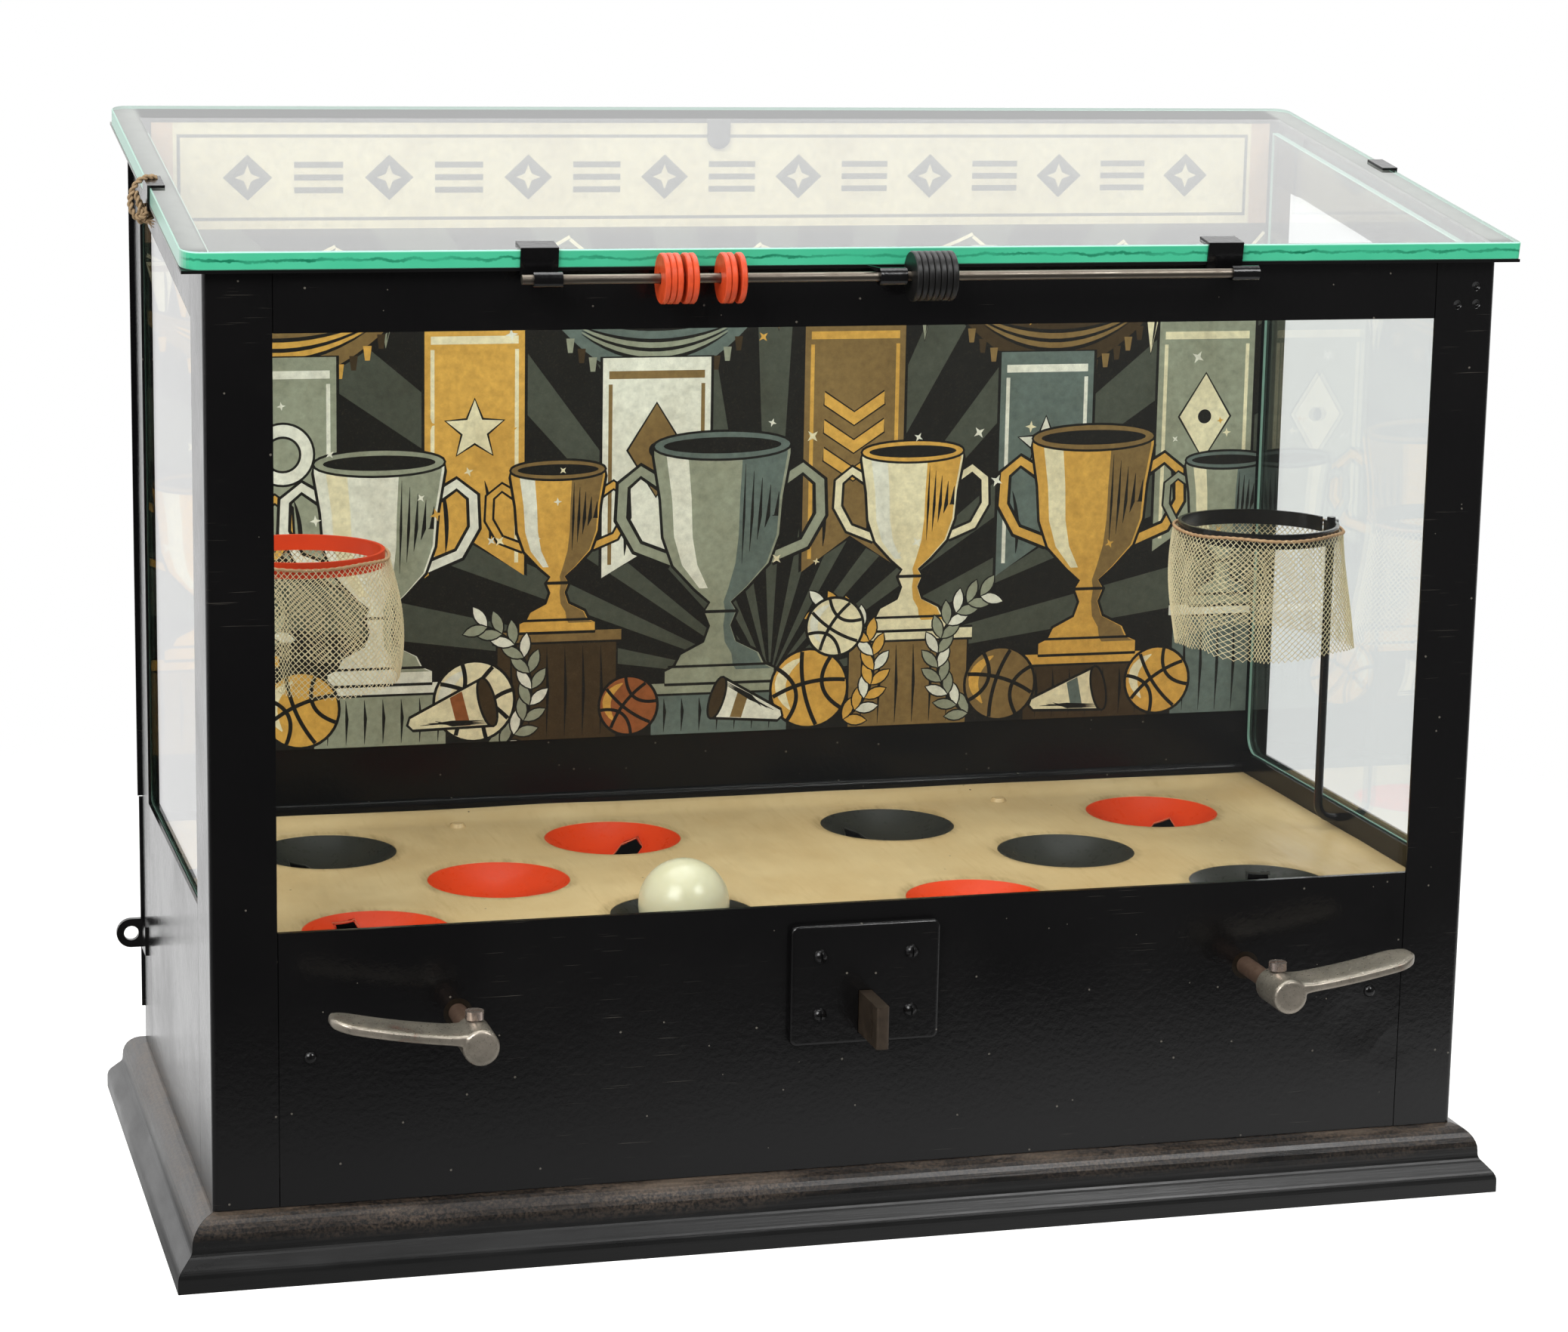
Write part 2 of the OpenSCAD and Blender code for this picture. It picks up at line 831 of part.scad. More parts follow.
// Height of the paddle's middle, top (1) or underside (-1) over the shaft, at a distance from it
function paddle_z(u, side = 0) =
    paddle_lift + u * tan(paddle_rise) + u * u / (2 * paddle_curve_r) + side * paddle_t / 2;

// Distance from the shaft at which a fillet's centre lies, closed in on in a few steps
function fillet_u(side, u = hub_r, steps = 8) = steps == 0 ? u :
    fillet_u(side, sqrt(pow(hub_r + paddle_fillet_r, 2)
        - pow(paddle_z(u, side) + side * paddle_fillet_r, 2)), steps - 1);

// A fillet's arc, from the hub out to the paddle
function fillet(side) =
    let(u = fillet_u(side), z = paddle_z(u, side) + side * paddle_fillet_r, a = atan2(z, u) + 180,
        slope = atan(tan(paddle_rise) + u / paddle_curve_r))
        arc([u, z], paddle_fillet_r, a, side > 0 ? 270 + slope : 90 + slope, 6);

function paddle_edge(side) =
    let(u0 = fillet_u(side), u1 = paddle_l - paddle_t / 2)
        [for (i = [1:8]) let(u = u0 + (u1 - u0) * i / 8) [u, paddle_z(u, side)]];

// Hub with an eased rim and a curved paddle with a half-round end, filleted into it
module lever() {
    tip = paddle_l - paddle_w / 2;
    near = hub_y + hub_ease / 2;
    far = near + paddle_w;
    tip_u = paddle_l - paddle_t / 2;
    side_view = concat(
        [[0, 0]], fillet(1), paddle_edge(1),
        arc([tip_u, paddle_z(tip_u)], paddle_t / 2, 75, -75, 6),
        reversed(paddle_edge(-1)), reversed(fillet(-1)));
    at_shaft()
        difference() {
            union() {
                translate([0, hub_y, 0])
                    rotate([-90, 0, 0])
                        rotate_extrude()
                            polygon(concat(
                                [[0, 0]], arc([hub_r - hub_ease, hub_ease], hub_ease, 270, 360, 4),
                                [[hub_r, hub_l], [0, hub_l]]));
                intersection() {
                    translate([0, far, 0])
                        rotate([90, 0, 0])
                            linear_extrude(paddle_w)
                                polygon(side_view);
                    translate([0, 0, -hub_d])
                        linear_extrude(3 * hub_d)
                            polygon(concat(
                                [[-hub_r, near]], arc([tip, near + paddle_w / 2], paddle_w / 2, 270, 450, 16),
                                [[-hub_r, far]]));
                }
            }
            rod_y(shaft_d / 2 + snug_fit, hub_y + 3, front_y);
            translate([0, screw_y, 0])
                cylinder(r = screw_r + snug_fit, h = hub_d);
        }
}

module right_lever() {
    color(pewter)
        lever();
}

module left_lever() {
    color(pewter)
        mirror([1, 0, 0])
            lever();
}

stirrup_back = 18;
stirrup_t = 2;
stirrup_x = 8;
stirrup_z = 12;
bush_rim = 2;

module shaft() {
    at_shaft()
        rod_y(shaft_d / 2, hub_y + 3, front_y + stirrup_back + stirrup_t + 1);
}

module right_shaft() {
    color("#7a6655")
        shaft();
}

module left_shaft() {
    color("#7a6655")
        mirror([1, 0, 0])
            shaft();
}

// Cheese-head screw that clamps the hub to the shaft
module set_screw() {
    head_z = hub_r + loose;
    head_r = 3.1;
    head_h = 2.8;
    slot_z = head_z + head_h / 2;
    at_shaft()
        translate([0, screw_y, 0])
            difference() {
                union() {
                    translate([0, 0, shaft_d / 2 + snug_fit])
                        cylinder(r = screw_r, h = head_z - shaft_d / 2);
                    translate([0, 0, head_z])
                        cylinder(r = head_r, h = head_h);
                }
                box(-2 * head_r, 2 * head_r, -head_r / 8, head_r / 8, slot_z, slot_z + head_h);
            }
}

module right_set_screw() {
    color("#a39a8e")
        set_screw();
}

module left_set_screw() {
    color("#a39a8e")
        mirror([1, 0, 0])
            set_screw();
}

// Crank on the inner end of the shaft, with a roller under the kicker frame's finger
crank_w = 8;
arm_h = 4.4;
crank_y = front_y + crank_back;

module crank() {
    at_shaft()
        difference() {
            rotate([0, -crank_drop, 0])
                mirror([1, 0, 0])
                    union() {
                        rod_y(shaft_d / 2 + 3.5, crank_y - crank_w / 2, crank_y + crank_w / 2);
                        box(0, crank_r, crank_y - crank_w / 2, crank_y + crank_w / 2, -arm_h / 2, arm_h / 2);
                        translate([crank_r, 0, 0])
                            rod_y(roller_r, crank_y - crank_w / 2, crank_y + crank_w / 2);
                    }
            rod_y(shaft_d / 2 + snug_fit, front_y, crank_y + crank_w);
        }
}

module right_crank() {
    color(steel)
        crank();
}

module left_crank() {
    color(steel)
        mirror([1, 0, 0])
            crank();
}

module shaft_bushes() {
    color("#a8843f")
        pair()
            translate([lever_x, 0, lever_z])
                difference() {
                    union() {
                        rod_y(bush_r - snug_fit, front_y, front_y + sheet);
                        rod_y(bush_r + bush_rim, front_y + sheet, front_y + sheet + bush_rim);
                    }
                    rod_y(shaft_d / 2 + running_fit, front_y - sheet, front_y + 2 * sheet + bush_rim);
                }
}

// Stirrup behind the panel that carries the inner end of a shaft
module shaft_stirrups() {
    x = stirrup_x;
    z = stirrup_z;
    y1 = front_y + stirrup_back + stirrup_t;
    color(steel)
        pair()
            translate([lever_x, 0, lever_z])
                difference() {
                    union() {
                        box(-x, x, y1 - stirrup_t, y1, -z, z);
                        box(-x, x, front_y + sheet, y1, z - stirrup_t, z);
                        box(-x, x, front_y + sheet, y1, -z, -z + stirrup_t);
                    }
                    rod_y(shaft_d / 2 + running_fit, y1 - stirrup_t - 1, y1 + 1);
                }
}

// Kicker frames: strips that link five pins under the cups of one colour

pin_top = mouth_z - cup_depth - cup_t - 1;
finger_x = -lever_x + crank_r + roller_r + 4;
finger_z = lever_z - crank_r * sin(crank_drop) + roller_r + loose;
finger_w = 8;
branch = [finger_x, crank_y - finger_w / 2];
guide_share = 0.55;
side_guide = kick_spots[1] * (1 - guide_share) + branch * guide_share;
mid_guide = (kick_spots[2] + kick_spots[3]) / 2;
eye_r = guide_d / 2 + 5;
pass_r = pin_d / 2 + 3;

// A flat strip from one spot to another
module strip(a, b) {
    d = b - a;
    translate(a)
        rotate(atan2(d[1], d[0]))
            translate([0, -strap_w / 2])
                square([norm(d), strap_w]);
}

// Outline of a kicker frame: strips from spot to spot, with eyes for the guide rods.
// One frame also has a wide eye that the other frame's middle pin passes through.
module lifter_outline(pass_eye) {
    pass_spot = [-kick_spots[1][0], kick_spots[1][1]];
    difference() {
        union() {
            for (i = [0:3])
                strip(kick_spots[i], kick_spots[i + 1]);
            strip(kick_spots[1], branch);
            for (p = kick_spots)
                translate(p)
                    circle(d = strap_w + 2);
            for (p = [side_guide, mid_guide])
                translate(p)
                    circle(r = eye_r);
            if (pass_eye)
                translate(pass_spot)
                    circle(r = pass_r + 5);
        }
        for (p = [side_guide, mid_guide])
            translate(p)
                circle(d = guide_d + 2 * running_fit);
        if (pass_eye)
            translate(pass_spot)
                circle(r = pass_r);
    }
}

module lifter(z, pass_eye) {
    sunk = z + strap_t / 2;
    translate([0, 0, z])
        linear_extrude(strap_t)
            lifter_outline(pass_eye);
    for (p = kick_spots)
        translate([p[0], p[1], sunk])
            cylinder(d = pin_d, h = pin_top - sunk);
    box(finger_x - 2, finger_x + 2, branch[1], branch[1] + finger_w, sunk, finger_z + strap_t);
    box(-lever_x + crank_r - roller_r - 2, finger_x, branch[1], branch[1] + finger_w,
        finger_z, finger_z + strap_t);
}

module orange_lifter() {
    color("#b5532f")
        lifter(orange_z, true);
}

module black_lifter() {
    color("#3a3b3d")
        mirror([1, 0, 0])
            lifter(black_z, false);
}

// Three upright rods between floor board and playfield
module lifter_guides() {
    spots = [side_guide, mid_guide, [-side_guide[0], side_guide[1]]];
    color(steel)
        for (p = spots)
            translate([p[0], p[1], board_t]) {
                cylinder(d = guide_d, h = mouth_z - board_t);
                cylinder(d = guide_d + 8, h = 3);
            }
}

// Helical spring as one swept tube of triangles
spring_sides = 6;
curl_rings = 8;

function spring_point(r, h, turns, t) = [r * cos(360 * turns * t), r * sin(360 * turns * t), h * t];

module spring(h, turns) {
    rings = turns * curl_rings;
    r = coil_d / 2;
    pitch_angle = atan(h / (turns * 360) / (r * PI / 180));
    points = [
        for (i = [0:rings])
            let(a = 360 * i / curl_rings, c = spring_point(r, h, turns, i / rings))
                for (k = [0:spring_sides - 1])
                    let(b = 360 * k / spring_sides, u = cos(b) * wire_d / 2, v = sin(b) * wire_d / 2)
                        c + [u * cos(a) + v * sin(pitch_angle) * sin(a),
                             u * sin(a) - v * sin(pitch_angle) * cos(a),
                             v * cos(pitch_angle)]];
    walls = [
        for (i = [0:rings - 1])
            for (k = [0:spring_sides - 1])
                let(a = i * spring_sides + k,
                    b = i * spring_sides + (k + 1) % spring_sides,
                    c = a + spring_sides,
                    d = b + spring_sides)
                    each [[a, c, b], [b, c, d]]];
    last = rings * spring_sides;
    caps = [for (k = [1:spring_sides - 2]) each [[0, k, k + 1], [last, last + k + 1, last + k]]];
    echo(str("least gap between the spring's turns: ", h / turns - wire_d));
    polyhedron(points, concat(walls, caps));
}

spring_gap = 0.2;

module lifter_spring(p, z, turns) {
    z0 = z + strap_t + wire_d / 2 + spring_gap;
    translate([p[0], p[1], z0])
        spring(mouth_z - wire_d / 2 - spring_gap - z0, turns);
}

module orange_spring() {
    color(steel)
        lifter_spring(side_guide, orange_z, 9);
}

module black_spring() {
    color(steel)
        lifter_spring([-side_guide[0], side_guide[1]], black_z, 14);
}

// Coin slide

module coin_plate() {
    x = plate_w / 2;
    z = plate_h / 2;
    corner_r = 2.5;
    wall = 1.2;
    color(black)
        translate([0, front_y, plate_z])
            rotate([90, 0, 0])
                difference() {
                    linear_extrude(plate_t)
                        polygon(round_rect(-x, -z, x, z, corner_r));
                    translate([0, 0, -1])
                        linear_extrude(plate_t - wall + 1)
                            offset(delta = -wall)
                                polygon(round_rect(-x, -z, x, z, corner_r));
                    translate([0, slide_z - plate_z, -1])
                        linear_extrude(plate_t + 2)
                            square([2 * slot_x, 2 * slot_z], center = true);
                    for (sx = [-1, 1], sz = [-1, 1])
                        translate([sx * screw_span_x / 2, sz * screw_span_z / 2, -1])
                            cylinder(r = 1.5 + snug_fit, h = plate_t + 2);
                }
}

// Round-head screws through the plate into the panel's face
module coin_plate_screws() {
    head_r = 2.5;
    head_h = 1.9;
    sphere_r = (head_r * head_r + head_h * head_h) / (2 * head_h);
    color(black)
        for (sx = [-1, 1], sz = [-1, 1])
            translate([sx * screw_span_x / 2, front_y, plate_z + sz * screw_span_z / 2])
                rotate([90, 0, 0])
                    difference() {
                        union() {
                            cylinder(r = 1.5, h = plate_t);
                            intersection() {
                                translate([0, 0, plate_t + head_h - sphere_r])
                                    sphere(r = sphere_r);
                                translate([0, 0, plate_t])
                                    cylinder(r = head_r, h = head_h);
                            }
                        }
                        translate([0, 0, plate_t + head_h])
                            cube([0.7, 3 * head_r, 1.6], center = true);
                    }
}

slide_in = 45;

// Flat blade with a hollow across its side near the outer end
module coin_slide() {
    y0 = front_y - slide_out;
    hollow_r = 7;
    hollow_w = 3;
    color("#857a6c")
        difference() {
            translate([0, 0, slide_z - slide_h / 2])
                linear_extrude(slide_h)
                    polygon(concat(
                        arc([-slide_t / 2 + 1, y0 + 1], 1, 180, 270, 4),
                        arc([slide_t / 2 - 1, y0 + 1], 1, 270, 360, 4),
                        [[slide_t / 2, front_y + slide_in], [-slide_t / 2, front_y + slide_in]]));
            intersection() {
                translate([-slide_t / 2, y0 + 4.5 + hollow_r, slide_z])
                    rotate([0, 90, 0])
                        cylinder(r = hollow_r, h = 2.4, center = true);
                box(-slide_t, 0, y0 + 4, y0 + 4.5 + hollow_w, slide_z - slide_h, slide_z + slide_h);
            }
        }
}

// Block that guides the slide, with a tail that stops it at full travel
guide_l = 40;
tail_x = 6;
tail_t = 2;
tail_l = slide_in + slide_travel + loose + tail_t;

module coin_guide() {
    half = 8;
    floor_z = slide_z - slide_h / 2 - 6;
    color(steel)
        difference() {
            union() {
                box(-half, half, front_y + sheet, front_y + guide_l, floor_z, slide_z + slide_h / 2 + 5);
                box(-tail_x, tail_x, front_y + guide_l, front_y + tail_l, floor_z, floor_z + tail_t);
                box(-tail_x, tail_x, front_y + tail_l - tail_t, front_y + tail_l, floor_z, slide_z + tail_x);
            }
            box(-slot_x, slot_x, front_y, front_y + guide_l + 1, slide_z - slot_z, slide_z + slot_z);
        }
}

// Open tin on the floor under the slide
tin_x = 40;
tin_d = 54;
tin_h = 26;
tin_t = 1.2;
tin_gap = 4;

module cash_box() {
    x = tin_x - tin_t;
    y0 = front_y + base_seat + tin_gap;
    y1 = y0 + tin_d;
    color("#6f7275")
        difference() {
            box(-tin_x, tin_x, y0, y1, board_t, board_t + tin_h);
            box(-x, x, y0 + tin_t, y1 - tin_t, board_t + tin_t, board_t + tin_h + 1);
        }
}

// Score rod, its clips and counters, laid out along the lid's front edge

rod_n = -0.6;
rod_r = rod_d / 2;
rod_out = lid_front + disc_d / 2 + disc_gap;
clip_x = rod_l / 2 - rod_past - clip_w / 2;

module at_rod() {
    on_lid()
        translate([0, -rod_out, rod_n])
            children();
}

module score_rod() {
    color("#6e6257")
        at_rod()
            rod_x(rod_r, rod_shift - rod_l / 2, rod_shift + rod_l / 2);
}

// Reach of the clips over the glass
front_hook = 8;
side_hook = 5;

// Outline of a folded strip that hooks over the lid's edge; the edge lies at a = 0
module hook(tongue, under) {
    top = sheet + lid_t;
    translate([-clip_t, -clip_t])
        square([clip_t, top + 2 * clip_t]);
    translate([-clip_t, top])
        square([tongue + clip_t, clip_t]);
    translate([-clip_t, -clip_t])
        square([under + clip_t, clip_t]);
}

module hook_along(length) {
    translate([-length / 2, 0, 0])
        rotate([90, 0, 90])
            linear_extrude(length)
                children();
}

// Clips over the front edge, each with a narrower tongue rolled round the rod below
roll_shift = [1.1, 4.2];

module rod_clips() {
    roll_r = rod_r + snug_fit + clip_t;
    color(black)
        on_lid()
            for (i = [0, 1])
                translate([rod_shift + (2 * i - 1) * clip_x, -lid_front, 0]) {
                    hook_along(clip_w)
                        hook(front_hook, lid_front - loose);
                    translate([roll_shift[i], 0, 0])
                        hook_along(roll_w)
                            difference() {
                                union() {
                                    translate([lid_front - rod_out, rod_n])
                                        circle(r = roll_r);
                                    translate([lid_front - rod_out, rod_n - roll_r])
                                        square([rod_out - lid_front, clip_t]);
                                    translate([-clip_t, rod_n - roll_r])
                                        square([clip_t, roll_r - rod_n + weld]);
                                }
                                translate([lid_front - rod_out, rod_n])
                                    circle(r = rod_r + snug_fit);
                            }
                }
}

// Crimped sleeve with a small fin that parts the two sets of counters
divider_x = [-3.7, 5.5];

module rod_divider() {
    color(black)
        at_rod()
            difference() {
                union() {
                    rod_x(rod_r + 1.3, divider_x[0], divider_x[1]);
                    translate([0, 0.5, 0])
                        rotate([90, 0, 0])
                            linear_extrude(1)
                                polygon([[divider_x[0] - 4.5, rod_r + 2.4], [divider_x[0] + 4, rod_r + 0.4],
                                    [divider_x[0] + 1, 0], [divider_x[0] - 1, rod_r]]);
                }
                rod_x(rod_r + snug_fit, divider_x[0] - 6, divider_x[1] + 1);
            }
}

counter_pitch = disc_t + 0.15;
disc_r = disc_d / 2;

// A stack of thin discs with eased rims, loose on the rod
module counters(x0, count) {
    ease = 0.35;
    at_rod()
        for (i = [0:count - 1])
            translate([x0 + i * counter_pitch, 0, 0])
                rotate([0, 90, 0])
                    rotate_extrude()
                        polygon([
                            [rod_r + loose, 0], [disc_r - ease, 0], [disc_r, ease],
                            [disc_r, disc_t - ease], [disc_r - ease, disc_t], [rod_r + loose, disc_t]]);
}

stack_gap = 1.2;

module orange_counters_left() {
    start = -77.2;
    color(orange) {
        counters(start, 3);
        counters(start + 3 * counter_pitch + stack_gap, 2);
    }
}

module orange_counters_right() {
    start = -57.2;
    color(orange) {
        counters(start, 2);
        counters(start + 2 * counter_pitch + stack_gap, 1);
    }
}

module black_counters() {
    color(black)
        counters(7.2, 7);
}

// Plain clips on the lid's left and right edges
side_clip_s = [90, 112];
side_clip_w = 14;

module lid_clips() {
    color(black)
        on_lid()
            for (i = [0, 1])
                mirror([1 - i, 0, 0])
                    translate([lid_x, side_clip_s[i], 0])
                        rotate(90)
                            hook_along(side_clip_w)
                                hook(side_hook, lid_side - loose);
}

// Loop of twine tied to the left clip
module lid_tie() {
    twine_r = 1.1;
    loop_r = 6;
    color("#7d6142")
        on_lid()
            translate([-lid_x - clip_t - twine_r - 0.1, side_clip_s[0], lid_t / 2])
                rotate([0, 90, 0])
                    rotate_extrude()
                        translate([loop_r, 0])
                            circle(r = twine_r, $fn = 24);
}

// Rear door over the works, hinged on the right, with a padlock lug on the left

door_y = back_y + loose;
door_top = sill_z - 0.5;
knuckle_t = 1.3;
knuckle_r = hinge_pin_d / 2 + knuckle_t;
leaf_w = 16;
staple_w = 14;
hinge_x = half_w + slide_fit + knuckle_r;
hinge_y = door_y + sheet / 2;
hinge_edge = 6;
hinge_z = [door_z + hinge_edge, door_top - hinge_edge];
knuckle_h = (hinge_z[1] - hinge_z[0]) / 3;
lug_rim = 2.75;
lug_r = lug_hole_d / 2 + lug_rim;

// Padlock lug in the plane of the back: a tab with a round end and a hole
module lug(y0) {
    x = -half_w - lug_out;
    difference() {
        union() {
            translate([x, 0, lug_z])
                rod_y(lug_r, y0, y0 + sheet);
            box(x, -half_w, y0, y0 + sheet, lug_z - lug_r, lug_z + lug_r);
        }
        box(-half_w, -half_w + lug_r, y0 - 1, y0 + sheet + 1, lug_z - lug_r, lug_z + lug_r);
        translate([x, 0, lug_z])
            rod_y(lug_hole_d / 2, y0 - 1, y0 + sheet + 1);
    }
}

module at_hinge(z) {
    translate([hinge_x, hinge_y, z])
        children();
}

module rear_door() {
    color(black) {
        difference() {
            union() {
                box(-half_w - 1, hinge_x, door_y, door_y + sheet, door_z, door_top);
                at_hinge(hinge_z[0] + knuckle_h + loose)
                    cylinder(r = knuckle_r, h = knuckle_h - 2 * loose);
            }
            at_hinge(door_z - 1)
                cylinder(r = hinge_pin_d / 2 + running_fit, h = door_top);
            for (z = [door_z - 1, hinge_z[0] + 2 * knuckle_h - loose])
                at_hinge(z)
                    cylinder(r = knuckle_r + loose, h = knuckle_h + hinge_edge + 1 + 2 * loose);
        }
        lug(door_y);
    }
}

// Fixed leaf on the right rear post, its two knuckles and the pin
module door_hinge() {
    color(steel) {
        difference() {
            union() {
                box(half_w, half_w + sheet, back_y - leaf_w, hinge_y, hinge_z[0], hinge_z[1]);
                for (z = [hinge_z[0], hinge_z[0] + 2 * knuckle_h])
                    at_hinge(z)
                        cylinder(r = knuckle_r, h = knuckle_h);
            }
            at_hinge(hinge_z[0] + knuckle_h)
                cylinder(r = knuckle_r + loose, h = knuckle_h);
        }
        at_hinge(hinge_z[0])
            cylinder(d = hinge_pin_d, h = hinge_z[1] - hinge_z[0]);
    }
}

// Matching lug folded from a strip riveted to the left rear post
module hasp_staple() {
    color(black) {
        lug(back_y - sheet);
        box(-half_w - sheet, -half_w, back_y - staple_w, back_y, lug_z - lug_r, lug_z + lug_r);
    }
}

base_board();
base_mouldings();
front_posts();
rear_posts();
front_panel();
front_rail();
side_panels();
side_rails();
rear_sill();
back_cover();
back_panel();
inner_rails();
picture_card();
sign_card();
lid_frame();
lid_glass();
front_glass();
glass_channel();
side_glass();
playfield();
orange_cups();
black_cups();
playfield_screws();
ball();
left_hoop();
right_hoop();
hoop_stands();
hoop_nets();
left_lever();
right_lever();
left_shaft();
right_shaft();
left_set_screw();
right_set_screw();
left_crank();
right_crank();
shaft_bushes();
shaft_stirrups();
orange_lifter();
black_lifter();
lifter_guides();
orange_spring();
black_spring();
coin_plate();
coin_plate_screws();
coin_slide();
coin_guide();
cash_box();
score_rod();
rod_clips();
rod_divider();
orange_counters_left();
orange_counters_right();
black_counters();
lid_clips();
lid_tie();
rear_door();
door_hinge();
hasp_staple();
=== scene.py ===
import math
import random

import bmesh
import bpy
import numpy as np
from mathutils import Matrix, Vector, geometry, noise


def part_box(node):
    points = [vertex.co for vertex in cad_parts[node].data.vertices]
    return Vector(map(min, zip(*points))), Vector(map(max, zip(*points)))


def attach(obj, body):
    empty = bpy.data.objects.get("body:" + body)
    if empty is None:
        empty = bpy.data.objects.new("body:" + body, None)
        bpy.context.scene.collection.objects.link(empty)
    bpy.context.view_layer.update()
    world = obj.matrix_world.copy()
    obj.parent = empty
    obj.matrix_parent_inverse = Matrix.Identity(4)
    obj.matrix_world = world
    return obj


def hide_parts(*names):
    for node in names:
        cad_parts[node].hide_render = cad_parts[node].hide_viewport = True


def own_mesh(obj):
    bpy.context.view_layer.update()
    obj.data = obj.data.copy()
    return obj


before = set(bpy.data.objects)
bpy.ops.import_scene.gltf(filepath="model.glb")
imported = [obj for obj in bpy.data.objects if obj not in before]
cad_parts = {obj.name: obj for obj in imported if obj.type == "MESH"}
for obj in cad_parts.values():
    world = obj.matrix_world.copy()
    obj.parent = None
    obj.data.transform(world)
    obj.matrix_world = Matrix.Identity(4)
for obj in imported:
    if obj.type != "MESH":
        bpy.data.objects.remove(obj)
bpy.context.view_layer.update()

scene = bpy.context.scene
scene.view_settings.view_transform = "Standard"
MM = 0.001


# The view.  The game stands on a table and is seen from a little left of its middle and from above,
# through a long lens that leans by one degree.

def put(name, data):
    """An object in the scene."""
    made = bpy.data.objects.new(name, data)
    scene.collection.objects.link(made)
    return made


yaw, pitch, roll = (math.radians(a) for a in (15.66, 11.481, 1.057))
ahead = Vector((math.sin(yaw) * math.cos(pitch), math.cos(yaw) * math.cos(pitch), -math.sin(pitch)))
level = Vector((math.cos(yaw), -math.sin(yaw), 0))
upward = level.cross(ahead)
right = level * math.cos(roll) + upward * math.sin(roll)
top = upward * math.cos(roll) - level * math.sin(roll)
lens = bpy.data.cameras.new("camera")
lens.sensor_fit = "HORIZONTAL"
lens.sensor_width = 36
focus, picture_w = 5110.5, 2076     # in pixels of the photograph
lens.lens = lens.sensor_width * focus / picture_w
lens.clip_end = 100
camera = put("camera", lens)
camera.matrix_world = Matrix.Translation((-0.3716, -1.3198, 0.4572)) @ Matrix(
    (right, top, -ahead)).transposed().to_4x4()
scene.camera = camera


# The table and the light.  A white sweep behind and beside the game, a darker room in front of it, and
# three large soft lamps, so that the black enamel stays black in front and pale where it is seen edge on.

def linear(code):
    """An sRGB hex colour as linear RGBA."""
    parts = [int(code[i:i + 2], 16) / 255 for i in (1, 3, 5)]
    return tuple(c / 12.92 if c <= 0.04045 else ((c + 0.055) / 1.055) ** 2.4 for c in parts) + (1,)


def feed(node, inputs):
    """Sets a node's inputs: each takes a value, a hex colour, a socket, or a node for its output in use."""
    for key, value in inputs.items():
        if isinstance(value, bpy.types.Node):
            value = next(socket for socket in value.outputs if socket.enabled)
        if isinstance(value, bpy.types.NodeSocket):
            node.id_data.links.new(value, node.inputs[key])
        else:
            node.inputs[key].default_value = linear(value) if isinstance(value, str) else value
    return node


def add(tree, kind, inputs=None, **settings):
    """A node with its settings and links; its kind goes without the family that the tree gives."""
    family = "" if kind.startswith("NodeGroup") else tree.bl_idname.replace("Tree", "")
    node = tree.nodes.new(family + kind)
    for name, value in settings.items():
        setattr(node, name, value)
    return feed(node, inputs or {})


def rays(tree):
    """Whether a ray has come off a shiny face, and whether the camera sees along it, also through glass."""
    ray = add(tree, "LightPath")
    bounced = add(tree, "Math", {0: ray.outputs["Glossy Depth"], 1: 0.5}, operation="GREATER_THAN")
    straight = add(tree, "Math", {0: ray.outputs["Is Transmission Ray"], 1: bounced}, operation="SUBTRACT")
    return bounced, add(tree, "Math", {0: ray.outputs["Is Camera Ray"], 1: straight}, operation="MAXIMUM")


world = bpy.data.worlds.new("studio")
scene.world = world
world.use_nodes = True
tree = world.node_tree
tree.nodes.clear()
toward = add(tree, "TexCoord").outputs["Generated"]
facing = add(tree, "VectorMath", {0: toward, 1: (-0.45, 0.9, 0.4)}, operation="DOT_PRODUCT")
window = add(tree, "MapRange", {"Value": add(tree, "SeparateXYZ", {0: toward}).outputs["X"], "From Min": 0.1,
    "From Max": 0.5, "To Min": 0.03, "To Max": 0.18})
sweep = add(tree, "MapRange", {"Value": facing, "From Min": -0.25, "From Max": 0.5, "To Min": 0.04, "To Max": 1.3})
bounced, seen = rays(tree)
room = add(tree, "Math", {0: sweep, 1: window}, operation="MAXIMUM")
mirrored = add(tree, "Mix", {0: bounced, 2: 0.42, 3: room}, data_type="FLOAT")
strength = add(tree, "Mix", {0: seen, 2: mirrored, 3: 1.0}, data_type="FLOAT")
add(tree, "OutputWorld", {"Surface": add(tree, "Background", {"Color": (1, 1, 1, 1), "Strength": strength})})

floor_mesh = bpy.data.meshes.new("table")
floor_mesh.from_pydata([(-6, -0.42, 0), (6, -0.42, 0), (6, 8, 0), (-6, 8, 0)], [], [(0, 1, 2, 3)])
table = put("table", floor_mesh)

